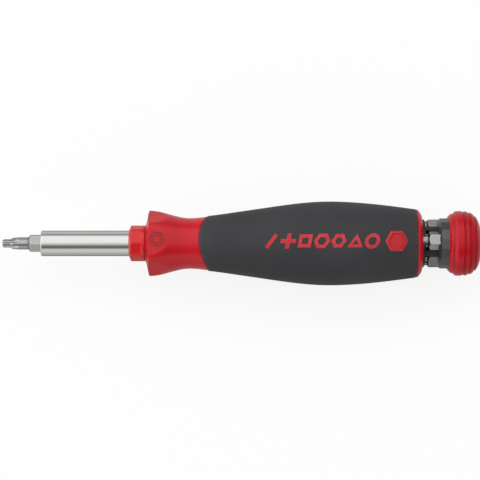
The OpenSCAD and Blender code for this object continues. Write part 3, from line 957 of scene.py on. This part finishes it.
@dataclass
class Handle:
    """Hard core with its flange, boss and rim, and the soft grip moulded over it."""

    front: float = 39.7
    length: float = 106.0
    face: float = 14.0
    cone: float = 1.7
    flange: float = 25.2
    flange_flats: float = 22.7
    flat_reach: float = 10.2
    waist_place: float = 17.1
    waist: float = 19.4
    neck_slope: float = 0.1
    front_slope: float = 0.09
    swell_place: float = 43.0
    swell: float = 26.4
    swell_slope: float = 0.143
    belly_place: float = 70.6
    belly: float = 32.2
    tail_end: float = 26.2
    tail_slope: float = -0.14
    rim_length: float = 2.0
    rim_face: float = 22.6
    well: float = 20.0
    well_bevel: float = 0.65
    well_depth: float = 36.0
    grip_thick: float = 1.8
    grip_proud: float = 0.3
    grip_tip: float = 21.1
    grip_valley: float = 3.4
    grip_wall_start: float = 2.8
    grip_foot_depth: float = 0.5
    sink_start: float = 0.5
    sink_end: float = 2.6
    sunk_place: float = 32.0
    seat: float = 0.02
    edge_round: float = 0.34
    boss_place: float = 95.7
    boss_flats: float = 7.8
    boss_top_flats: float = 5.9
    boss_dish_flats: float = 5.3
    boss_dish: float = 0.12
    boss_proud: float = 0.5
    boss_root: float = 3.0
    tongue_turn: float = 7.0
    tongue_reach: float = 0.3
    seam: float = 0.05
    seam_rings: int = 20
    sleeve_bore: float = 9.24
    sleeve_depth: float = 3.8
    shank_flats: float = 6.34
    shank_turn: float = -38.0
    shank_depth: float = 40.2
    stamp_place: float = 4.85
    stamp_side: float = 0.95
    stamp_radius: float = 2.85
    stamp_rings: tuple[Point, ...] = ((1.0, 0.42), (0.56, 0.3))
    stamp_ticks: int = 12
    stamp_tick: Point = (0.5, 0.34)
    stamp_tick_share: float = 0.7
    stamp_sunk: float = 0.03
    stamp_high: float = 0.1
    segments: int = 192
    beside: float = -0.9
    shut_off: tuple[Point, ...] = ((-0.5, 0.0), (-0.38, 0.0), (-0.32, 0.24), (-0.06, 0.3), (0.06, 0.3))
    behind_edge: tuple[float, ...] = (0.2, 0.5, 0.9, 1.3, 1.7, 2.1, 2.6, 3.2)
    front_shares: tuple[Point, ...] = ((0.0, 0.0), (0.28, 0.13), (0.78, 0.84), (0.9, 0.95))

    def __post_init__(self) -> None:
        """Works out the stations of the outline."""
        start = self.grip_tip - self.grip_thick / 2
        front_diameter = self.waist + self.grip_thick / 3 + self.grip_proud
        neck = self.grip_tip + self.grip_valley * 1.2 + self.grip_thick / 2
        neck_diameter = front_diameter + (neck - start) * 2 * self.front_slope - self.grip_proud
        self.flange_station = Station(self.cone, self.flange)
        self.waist_station = Station(self.waist_place, self.waist)
        self.neck_station = Station(neck, neck_diameter, self.neck_slope)
        self.front_station = Station(start, front_diameter, self.front_slope)
        self.swell_station = Station(self.swell_place, self.swell, self.swell_slope)
        self.belly_station = Station(self.belly_place, self.belly)
        self.tail_station = Station(self.length - self.rim_length, self.tail_end, self.tail_slope)

    def grip_radius(self, place: float) -> float:
        """Radius of the grip's outer surface.

        Args:
            place: distance from the handle's front.

        Returns:
            The radius at that place.
        """
        if place < self.swell_place:
            return self.front_station.radius_to(self.swell_station, place)
        if place < self.belly_place:
            return self.swell_station.radius_to(self.belly_station, place)
        return self.belly_station.radius_to(self.tail_station, place)

    def neck_radius(self, place: float) -> float:
        """Radius of the hard surface between the waist and the grip."""
        return self.waist_station.radius_to(self.neck_station, place)

    def grip_edge(self, angle: float) -> float:
        """Place of the grip's front edge, a round tongue seen from above and below.

        Args:
            angle: angle round the tool.

        Returns:
            The edge's distance from the handle's front.
        """
        half = self.grip_radius(self.grip_tip + self.grip_valley)
        arc = (half * half + self.grip_valley * self.grip_valley) / (2 * self.grip_valley)
        side = half * sin(angle - radians(self.tongue_turn))
        return self.grip_tip - self.tongue_reach + arc - sqrt(arc * arc - side * side)

    def parting(self, angle: float) -> float:
        """Height of the fine line that the mould's halves leave along both sides."""
        away = abs(abs(remainder(angle, FULL_TURN)) - pi / 2) * self.segments / FULL_TURN
        return self.seam * max(0.0, 1.0 - away)

    def core_section(self, angle: float, place: float) -> float:
        """Radius of the hard core behind the waist, sunk under the grip, without the mould's line.

        Args:
            angle: angle round the tool.
            place: distance from the handle's front.

        Returns:
            The radius there.
        """
        edge = self.grip_edge(angle)
        hard = self.neck_radius(place) if place < self.neck_station.place else self.grip_radius(place)
        sunk = self.grip_radius(place) - self.grip_thick - self.seat
        return hard + (sunk - hard) * smooth_step(edge + self.sink_start, edge + self.sink_end, place)

    def beside_grip(self, angle: float, offset: float, share: float, depth: float) -> Point:
        """A point of the hard core near the grip's front edge.

        Args:
            angle: angle round the tool.
            offset: distance behind the edge.
            share: 0 for a plane at the waist and 1 for a line that follows the edge.
            depth: how deep the point lies under the surface.

        Returns:
            Its place and radius.
        """
        start = self.waist_place + 0.5
        place = start + (self.grip_edge(angle) - start) * share + offset
        return self.front + place, self.core_section(angle, place) + self.parting(angle) - depth

    def front_outline(self) -> list[Point]:
        """Outline from the handle's face over the flange to the waist.

        Returns:
            Distances from the handle's front with their radii.
        """
        face, outer = self.face / 2, self.flange / 2
        rise = (self.flange - self.face) / 2
        cone = [(0.0, face - 0.6)] + [(self.cone * x, face + rise * r) for x, r in self.front_shares]
        outline = rounded([*cone, (self.cone, outer), (self.cone + 0.5, outer)], 0.25)[:-1]
        return outline + [(x, self.flange_station.radius_to(self.waist_station, x))
                          for x in steps(self.cone + 0.3, self.waist_place, 24)]

    def rear_outline(self) -> list[Point]:
        """Outline of the rim, the well's mouth and the well.

        Returns:
            Distances from the handle's front with their radii.
        """
        tail, end = self.tail_station.place, self.length
        top, face, well = self.tail_end / 2, self.rim_face / 2, self.well / 2
        return rounded([(tail - 0.1, top - self.grip_thick), (tail, top - 0.25), (tail + 0.3, top),
                        (tail + self.rim_length * 0.45, top - 0.35), (end - 0.2, face + 0.12),
                        (end, face - 0.2), (end, well + self.well_bevel), (end - self.well_bevel, well),
                        (end - self.well_depth, well)], 0.3)

    def build_core(self) -> Mesh:
        """Hard handle from the shank's cavity round the outside to the bottom of the well.

        Returns:
            The mesh in millimetres.
        """
        front, bore_end = self.front, self.front + self.sleeve_depth
        shank_turn = radians(self.shank_turn)

        def flatted(angle: float, radius: float, seamed: bool) -> float:
            """Radius inside the flange's six flats, with softened edges.

            Args:
                angle: angle round the tool.
                radius: radius of the turned outline.
                seamed: whether the mould's line stands on it.

            Returns:
                The radius there.
            """
            if radius > self.flat_reach:
                radius = soft_min(radius, flats(angle, self.flange_flats / 2, 6, 0.0, 200.0), 260.0)
            return radius + self.parting(angle) if seamed else radius

        rings: list[Ring] = [shaped(x, lambda a: flats(a, self.shank_flats / 2, 6, shank_turn))
                             for x in (front + self.shank_depth, bore_end)]
        rings += [fixed(x, self.sleeve_bore / 2) for x in (bore_end, front)]
        outline = self.front_outline()
        seamless = len(outline) - self.seam_rings
        for index, (x, limit) in enumerate(outline):
            rings.append(shaped(front + x, lambda a, r=limit, s=index >= seamless: flatted(a, r, s)))
        rings += [lambda a, s=share: self.beside_grip(a, s * self.beside, s, 0.0)
                  for share in steps(0.0, 1.0, 10)]
        rings += [lambda a, o=offset, d=depth: self.beside_grip(a, o, 1.0, d)
                  for offset, depth in (*self.shut_off, *((x, 0.0) for x in self.behind_edge))]
        rings += [shaped(front + x, lambda a, p=x: self.core_section(a, p) + self.parting(a))
                  for x in steps(self.sunk_place, self.tail_station.place - 0.4, 30)]
        rings += [fixed(front + x, r) for x, r in self.rear_outline()]
        return ring_chain(rings, self.segments)

    def add_boss(self, bm: Mesh) -> None:
        """Adds the hexagon boss, its corners towards the handle's ends.

        Args:
            bm: the core's mesh.
        """
        here = self.boss_place
        slope = self.grip_radius(here + 0.5) - self.grip_radius(here - 0.5)
        top = self.grip_radius(here) + self.boss_proud
        foot, step = top - self.boss_root, (self.boss_flats - self.boss_top_flats) / 3
        others, radius = set(bm.verts), self.boss_flats / sqrt(3)
        made = bmesh.ops.create_circle(bm, cap_ends=True, radius=radius, segments=6)["verts"]
        turn_verts(bm, made, radians(30), "Z")
        bmesh.ops.translate(bm, verts=made, vec=(self.front + here, 0, foot))
        base = list({face for vert in made for face in vert.link_faces})
        grown = bmesh.ops.extrude_face_region(bm, geom=base)["geom"]
        lifted = verts_of(grown)
        bmesh.ops.translate(bm, verts=lifted, vec=(0, 0, top - step - foot))
        face = next(item for item in grown if isinstance(item, bmesh.types.BMFace))
        edges = {edge for vert in lifted for edge in vert.link_edges}

        def inset(thickness: float, lift: float) -> None:
            """Insets the top face and lifts what is left of it."""
            bmesh.ops.inset_region(bm, faces=[face], thickness=thickness, depth=0.0)
            bmesh.ops.translate(bm, verts=face.verts[:], vec=(0, 0, lift))

        inset((self.boss_flats - self.boss_top_flats) / 2, step)
        edges |= set(face.edges)
        inset((self.boss_top_flats - self.boss_dish_flats) / 2, -self.boss_dish)
        inset(0.8, 0.0)
        bmesh.ops.bevel(bm, geom=list(edges), offset=0.1, offset_type="OFFSET", segments=2, profile=0.5,
                        affect="EDGES", material=-1)
        for vert in bm.verts:
            if vert not in others:
                vert.co.z += slope * (vert.co.x - self.front - here)

    def build_grip(self) -> Mesh:
        """Soft grip: a closed shell with a rounded two-lobed front edge.

        Returns:
            The mesh in millimetres.
        """
        front, end, lip = self.front, self.tail_station.place - self.seat, self.edge_round

        def outer(angle: float, share: float) -> Point:
            """Outer surface between the front round and the rear round.

            Args:
                angle: angle round the tool.
                share: share of the way from the front to the rear.

            Returns:
                Place and radius.
            """
            start = self.grip_edge(angle) + lip
            place = start + (end - lip - start) * share
            return front + place, self.grip_radius(place) + self.parting(angle)

        def round_off(place: float, turn: float, side: int) -> Point:
            """Quarter round at an edge, with side 1 at the front and -1 at the rear."""
            top = self.grip_radius(place + side * lip)
            return front + place + side * lip * (1 - cos(turn)), top - lip * (1 - sin(turn))

        def inner(angle: float, share: float) -> Point:
            """Inner wall, from the rear to just behind the front edge.

            Args:
                angle: angle round the tool.
                share: share of the way from the rear to the front.

            Returns:
                Place and radius.
            """
            start = self.grip_edge(angle) + self.grip_wall_start
            place = end + (start - end) * share
            return front + place, self.grip_radius(place) - self.grip_thick

        def foot(angle: float) -> Point:
            """Sharp foot of the front edge, just inside the hard surface."""
            edge = self.grip_edge(angle)
            return front + edge, self.neck_radius(edge) - self.grip_foot_depth

        rings: list[Ring] = [foot]
        rings += [lambda a, t=turn: round_off(self.grip_edge(a), t, 1) for turn in steps(0.0, pi / 2, 5)[:-1]]
        rings += [lambda a, s=share: outer(a, s) for share in steps(0.0, 1.0, 96)]
        rings += [lambda a, t=turn: round_off(end, t, -1) for turn in steps(pi / 2, 0.0, 4)[1:]]
        rings += [lambda a, s=share: inner(a, s) for share in steps(0.0, 1.0, 24)]
        return ring_chain(rings, self.segments, Close.LOOP)

    def build_stamp(self) -> Mesh:
        """Plain raised ring with ticks on the upper flat, as a mould insert leaves it.

        Returns:
            The mesh in millimetres.
        """
        bm = bmesh.new()
        for size, width in self.stamp_rings:
            radius = self.stamp_radius * size
            share = (radius - width) / radius
            bmesh.ops.scale(bm, verts=band(bm, radius, 48)[1], vec=(share, share, 1.0))
        for tick in range(self.stamp_ticks):
            made = bmesh.ops.create_grid(bm, x_segments=1, y_segments=1, size=0.5)["verts"]
            bmesh.ops.scale(bm, verts=made, vec=(*self.stamp_tick, 1.0))
            bmesh.ops.translate(bm, verts=made, vec=(self.stamp_radius * self.stamp_tick_share, 0, 0))
            turn_verts(bm, made, tick * FULL_TURN / self.stamp_ticks, "Z")
        thicken(bm, self.stamp_high)
        level = self.flange_flats / 2 - self.stamp_sunk
        place = (self.front + self.stamp_place, self.stamp_side, level)
        bmesh.ops.translate(bm, verts=bm.verts[:], vec=place)
        return bm

    def build(self, finishes: Finishes) -> None:
        """Builds and dresses the handle.

        Args:
            finishes: every finish of the tool.
        """
        core = self.build_core()
        self.add_boss(core)
        place_piece(core, "red_handle_core", "handle", finishes[Finish.HANDLE_RED],
                    "handle_core", 24.0)
        place_piece(self.build_grip(), "soft_grip_shell", "handle", finishes[Finish.GRIP],
                    "soft_grip", 40.0)
        place_piece(self.build_stamp(), "mould_ring", "handle", finishes[Finish.STAMP_RED])
        SignRow(self).build(finishes)


@dataclass
class SignRow:
    """Row of plain raised drive signs on the grip, drawn round each sign's centre."""

    handle: Handle
    first: float = 48.3
    pitch: float = 6.35
    size: float = 5.8
    stroke: float = 1.35
    bar_stroke: float = 1.15
    relief: float = 0.16
    sunk: float = 0.1
    lean: float = 0.2
    triangle_drop: float = 0.12

    def loop(self, bm: Mesh, outline: Callable[[float], float], apothem: float, segments: int = 72) -> None:
        """Adds a closed band of the stroke's width inside an outline.

        Args:
            bm: mesh of the row, with this sign's centre at the origin.
            outline: radius of the outline for an angle.
            apothem: smallest radius of the outline, from which the stroke is taken off.
            segments: points of the outline.
        """
        for verts, inset in zip(band(bm, 1.0, segments), (0.0, self.stroke)):
            for vert in verts:
                angle = atan2(vert.co.y, vert.co.x)
                radius = outline(angle) * (1 - inset / apothem)
                vert.co = Vector((radius * cos(angle), radius * sin(angle), 0.0))

    def polygon(self, bm: Mesh, sides: int, share: float, turn: float, inner_share: float = 0.0) -> None:
        """Adds a polygon's band.

        Args:
            bm: mesh of the row.
            sides: number of sides.
            share: its apothem as a share of half the sign's size.
            turn: angle of the middle of one side.
            inner_share: share from which the stroke is taken off, if it isn't the same.
        """
        half = self.size / 2
        self.loop(bm, lambda a: flats(a, half * share, sides, turn), half * (inner_share or share))

    def bar(self, bm: Mesh, turn: float) -> None:
        """Adds a straight bar through the sign's centre.

        Args:
            bm: mesh of the row.
            turn: its angle in radians.
        """
        made = bmesh.ops.create_grid(bm, x_segments=10, y_segments=2, size=0.5)["verts"]
        bmesh.ops.scale(bm, verts=made, vec=(self.size, self.stroke * self.bar_stroke, 1.0))
        turn_verts(bm, made, turn, "Z")

    def draw(self, bm: Mesh, sign: Symbol) -> None:
        """Draws one sign round the origin.

        Args:
            bm: mesh of the row.
            sign: which sign.
        """
        half = self.size / 2
        if sign is Symbol.SLOT:
            self.bar(bm, radians(60))
        elif sign is Symbol.CROSS:
            self.bar(bm, 0.0)
            self.bar(bm, pi / 2)
        elif sign is Symbol.SQUARE:
            self.polygon(bm, 4, 0.86, 0.0)
        elif sign is Symbol.HEXAGON:
            self.polygon(bm, 6, 0.95, pi / 6)
        elif sign is Symbol.SIX_LOBE:
            self.loop(bm, lambda a: half * (1.0 - 0.16 * (0.5 - 0.5 * cos(6 * a))), half * 0.92, 96)
        elif sign is Symbol.TRIANGLE:
            self.polygon(bm, 3, 0.6, -pi / 2, 0.74)
        else:
            self.loop(bm, lambda a: half, half)

    def build(self, finishes: Finishes) -> None:
        """Builds the whole row as one piece, laid on the grip.

        Args:
            finishes: every finish of the tool.
        """
        bm, front = bmesh.new(), self.handle.front
        for index, sign in enumerate(Symbol):
            before = set(bm.verts)
            self.draw(bm, sign)
            made = [vert for vert in bm.verts if vert not in before]
            for vert in made:
                vert.co.x += self.lean * vert.co.y
            drop = self.size * self.triangle_drop if sign is Symbol.TRIANGLE else 0.0
            bmesh.ops.translate(bm, verts=made, vec=(front + self.first + index * self.pitch, -drop, 0.0))
        for vert in bm.verts:
            radius = self.handle.grip_radius(vert.co.x - front)
            vert.co.z = sqrt(radius * radius - vert.co.y * vert.co.y) - self.sunk
        thicken(bm, self.relief + self.sunk)
        place_piece(bm, "drive_signs", "handle", finishes[Finish.SIGN_RED])


@dataclass
class Magazine:
    """Bit magazine: cage, facetted collar, end cap and the spare bits."""

    lip: float = 155.9
    turn: float = 6.5
    bays: int = 4
    bay_radius: float = 5.86
    bit_rear: float = 162.7
    cap_length: float = 12.7
    cap: float = 24.9
    cap_lip: float = 22.8
    cap_face: float = 20.6
    lip_length: float = 1.8
    round_share: float = 0.68
    round_power: float = 3.0
    round_last: float = 0.985
    grooves: int = 3
    groove_place: float = 5.75
    groove_pitch: float = 2.1
    groove_depth: float = 0.42
    groove_cutter: float = 0.42
    hex_clear: float = 0.08
    run_gap: float = 0.1
    spares: tuple[tuple[str, Tip, int, str, str], ...] = (
        ("spare_cross_bit", Tip.PHILLIPS, 0, "spare_phillips", "bit_phillips"),
        ("spare_slotted_bit", Tip.SLOTTED, 1, "spare_slotted", "bit_slotted"),
        ("spare_ribbed_cross_bit", Tip.POZIDRIV, 3, "spare_pozidriv", "bit_pozidriv"))

    def grooved(self, place: float) -> float:
        """Radius of the cap's round end with its grooves.

        Args:
            place: distance from the lip's face.

        Returns:
            The radius at that place.
        """
        reach = self.cap_length * self.round_share
        share = max(0.0, (place - self.cap_length + reach) / reach)
        radius = plain = self.cap / 2 * (1 - share ** self.round_power) ** (1 / self.round_power)
        for k in range(self.grooves):
            away = place - self.groove_place - self.groove_pitch * k
            if abs(away) < self.groove_cutter:
                cut = plain + self.groove_cutter - self.groove_depth
                radius = min(radius, cut - sqrt(self.groove_cutter ** 2 - away * away))
        return radius

    def build_cap(self) -> Mesh:
        """Round end cap with a bevelled lip, grooves round its side and a socket in each bay.

        Returns:
            The mesh in millimetres.
        """
        step, bevel = (self.cap - self.cap_lip) / 2, (self.cap_lip - self.cap_face) / 2
        lip = self.cap_lip / 2
        front = rounded([(0.0, 0.0), (0.0, self.cap_face / 2), (bevel, lip), (self.lip_length, lip),
                         (self.lip_length + step, self.cap / 2 - 0.04)], 0.2)
        reach = self.cap_length * self.round_share
        last = self.cap_length - reach + reach * self.round_last
        side_end = self.groove_place + self.groove_pitch * (self.grooves - 1) + self.groove_cutter + 0.1
        places = steps(self.lip_length + step + 0.35, side_end, 84)
        share = (side_end - self.cap_length + reach) / reach
        places += [self.cap_length - reach + reach * self.round_last * sin(t)
                   for t in steps(asin(share / self.round_last), pi / 2, 16)[1:]]
        outline = front + [(x, self.grooved(x)) for x in places] + [(last, 0.0)]
        cap = turned([(self.lip + x, r) for x, r in outline], 160)
        return cut_out(cap, [self.socket(bay) for bay in range(self.bays)])

    def socket(self, bay: int) -> Mesh:
        """Hexagon hole in the cap for a bit's end, counted as the bays are."""
        bm = ring_chain([shaped(x, lambda a: flats(a, Bit.across_flats / 2 + self.hex_clear, 6))
                         for x in (self.lip - 1.0, self.bit_rear + self.run_gap)], 36)
        return self.into_bay(bm, bay)

    def into_bay(self, bm: Mesh, bay: int) -> Mesh:
        """Moves a shape from the tool axis into a bay.

        Args:
            bm: the shape.
            bay: the bay, counted from the top towards +Y.

        Returns:
            The same shape.
        """
        bmesh.ops.translate(bm, verts=bm.verts[:], vec=(0, 0, self.bay_radius))
        turn_verts(bm, bm.verts[:], -radians(self.turn + 90.0 * bay), "X")
        return bm

    def build(self, finishes: Finishes) -> None:
        """Builds and dresses the magazine.

        Args:
            finishes: every finish of the tool.
        """
        place_piece(self.build_cap(), "ribbed_end_cap", "magazine",
                    finishes[Finish.CAP_RED], "end_cap", 50.0)
        for name, tip, bay, body, node in self.spares:
            spare = self.into_bay(Bit(tip, self.bit_rear).mesh(), bay)
            place_piece(spare, name, body, finishes[Finish.SPARE_BIT], node)
        for node, finish in (("magazine_cage", Finish.CAGE_BLACK), ("magazine_collar", Finish.COLLAR_GREY),
                             ("detent_ring", Finish.RING_BLACK)):
            dress_node(node, finishes[finish])


# Studio


@dataclass(frozen=True)
class Lamp:
    """A soft lamp aimed at the tool, left out of reflections, which show the surround."""

    name: str
    place: Triple
    size: Point
    power: float

    def build(self, aim: Vector) -> None:
        """Builds the lamp.

        Args:
            aim: what it is aimed at and placed from.
        """
        lamp = bpy.data.lights.new(self.name, "AREA")
        lamp.shape, lamp.energy = "RECTANGLE", self.power
        lamp.size, lamp.size_y = self.size
        holder = add_object(self.name, lamp)
        holder.location = Vector(self.place) + aim
        holder.rotation_euler = (aim - holder.location).to_track_quat("-Z", "Y").to_euler()
        holder.visible_glossy = False


@dataclass(frozen=True)
class Studio:
    """Pale floor, soft light and the camera."""

    floor_level: float = -0.0161
    floor_size: float = 4.0
    floor_shade: float = 0.5
    far_shade: float = 0.2
    far_span: Point = (0.09, 0.16)
    seen_shade: float = 0.95
    seen_white: float = 0.86
    mirrored: Point = (0.12, 0.42)
    mirrored_span: Point = (-0.012, 0.012)
    mirrored_ahead: Point = (0.9, 0.0)
    ahead_span: Point = (-0.17, -0.11)
    centre: Point = (0.0761, 0.0013)
    distance: float = 0.8
    elevation: float = 86.5
    lens: float = 156.0
    lamps: tuple[Lamp, ...] = (Lamp("key", (-0.25, 0.7, 0.85), (1.4, 0.6), 3.4),
                               Lamp("fill", (0.0, -0.8, 0.45), (1.2, 0.5), 0.65))
    surround_peak: float = 1.5
    panels: tuple[Triple, ...] = ((-0.45, -0.85, 1.5), (0.5, 0.9, 0.35))
    surround: tuple[Point, ...] = (
        (-180, 0.5), (-100, 0.72), (-62, 0.75), (-53, 0.5), (-46, 0.16), (-30, 0.18), (-20, 0.4), (-11, 0.68),
        (-2, 0.9), (8, 1.1), (60, 1.13), (66, 0.9), (74, 0.5), (82, 0.32), (100, 0.32), (180, 0.5))

    def build_floor(self) -> None:
        """Pale floor that shows white and keeps the tool's shadow, with shades of its own in reflections."""
        bm = bmesh.new()
        bmesh.ops.create_grid(bm, x_segments=2, y_segments=2, size=self.floor_size / 2)
        floor = add_mesh("floor", bm)
        floor.location = (self.centre[0], 0.0, self.floor_level)
        made, tree, shader = new_material("pale_floor")
        path = tree.add("LightPath").outputs
        place = tree.add("SeparateXYZ", {0: tree.add("TexCoord").outputs["Object"]}).outputs
        shade = tree.blend(tree.span(place["Y"], *self.far_span, 0.0, 1.0), (self.floor_shade,) * 3,
                           (self.far_shade,) * 3)
        for key, value in (("Base Color", tree.blend(path["Is Camera Ray"], shade, (self.seen_shade,) * 3)),
                           ("Roughness", 0.9), ("Specular IOR Level", 0.0)):
            tree.feed(shader.inputs[key], value)
        mirrored = tree.math("ADD", path["Is Glossy Ray"], path["Is Transmission Ray"])
        white = tree.math("MAXIMUM", tree.span(place["Y"], *self.mirrored_span, *self.mirrored),
                          tree.span(place["X"], *self.ahead_span, *self.mirrored_ahead))
        seen = tree.math("ADD", tree.math("MULTIPLY", path["Is Camera Ray"], self.seen_white),
                         tree.math("MULTIPLY", tree.math("MINIMUM", mirrored, 1.0), white))
        mix = tree.add("MixShader", {0: seen, 1: shader.outputs[0], 2: tree.add("Emission").outputs[0]})
        tree.feed(made.node_tree.nodes["Material Output"].inputs["Surface"], mix.outputs[0])
        floor.data.materials.append(made)

    def build_world(self) -> None:
        """Studio surround: soft panels above and beside the tool, a brighter one ahead of its tip."""
        world = bpy.context.scene.world = bpy.data.worlds.new("studio")
        world.use_nodes = True
        tree = Tree(world.node_tree)
        direction = tree.add("SeparateXYZ", {0: tree.add("TexCoord").outputs["Generated"]}).outputs
        turn = tree.math("ARCTAN2", direction["Y"], direction["Z"])
        ramp = tree.add("ValToRGB", {"Fac": tree.span(turn, -pi, pi, 0.0, 1.0)})
        ramp.color_ramp.interpolation = "EASE"
        stops = ramp.color_ramp.elements
        for angle, level in self.surround:
            place = (angle + 180) / 360
            stop = next((held for held in stops if held.position == place), None) or stops.new(place)
            stop.color = (*(level / self.surround_peak,) * 3, 1.0)
        shade = ramp.outputs["Color"]
        for low, high, level in self.panels:
            mask = tree.span(direction["X"], low, high, 0.0, 1.0)
            shade = tree.blend(mask, shade, (level / self.surround_peak,) * 3)
        soft = world.node_tree.nodes["Background"]
        tree.feed(soft.inputs["Color"], shade)
        tree.feed(soft.inputs["Strength"], self.surround_peak)

    def build_camera(self) -> None:
        """Camera nearly overhead, at the photograph's angle."""
        camera = bpy.data.cameras.new("camera")
        camera.lens, camera.sensor_width, camera.clip_start = self.lens, 36.0, 0.01
        holder = bpy.context.scene.camera = add_object("camera", camera)
        tilt = radians(90.0 - self.elevation)
        away = Vector((0.0, -sin(tilt), cos(tilt))) * self.distance
        holder.location = Vector((*self.centre, 0.0)) + away
        holder.rotation_euler = (tilt, 0.0, 0.0)

    def build(self) -> None:
        """Builds the whole studio."""
        self.build_floor()
        self.build_world()
        for lamp in self.lamps:
            lamp.build(Vector((self.centre[0], 0.0, 0.0)))
        self.build_camera()
        bpy.context.scene.view_settings.view_transform = "Standard"


def main() -> None:
    """Builds the tool and its studio."""
    logging.basicConfig(level=logging.INFO, format="%(name)s: %(message)s")
    finishes = build_finishes()
    Blade().build(finishes)
    Handle().build(finishes)
    Magazine().build(finishes)
    Studio().build()


if __name__ == "__main__":
    main()
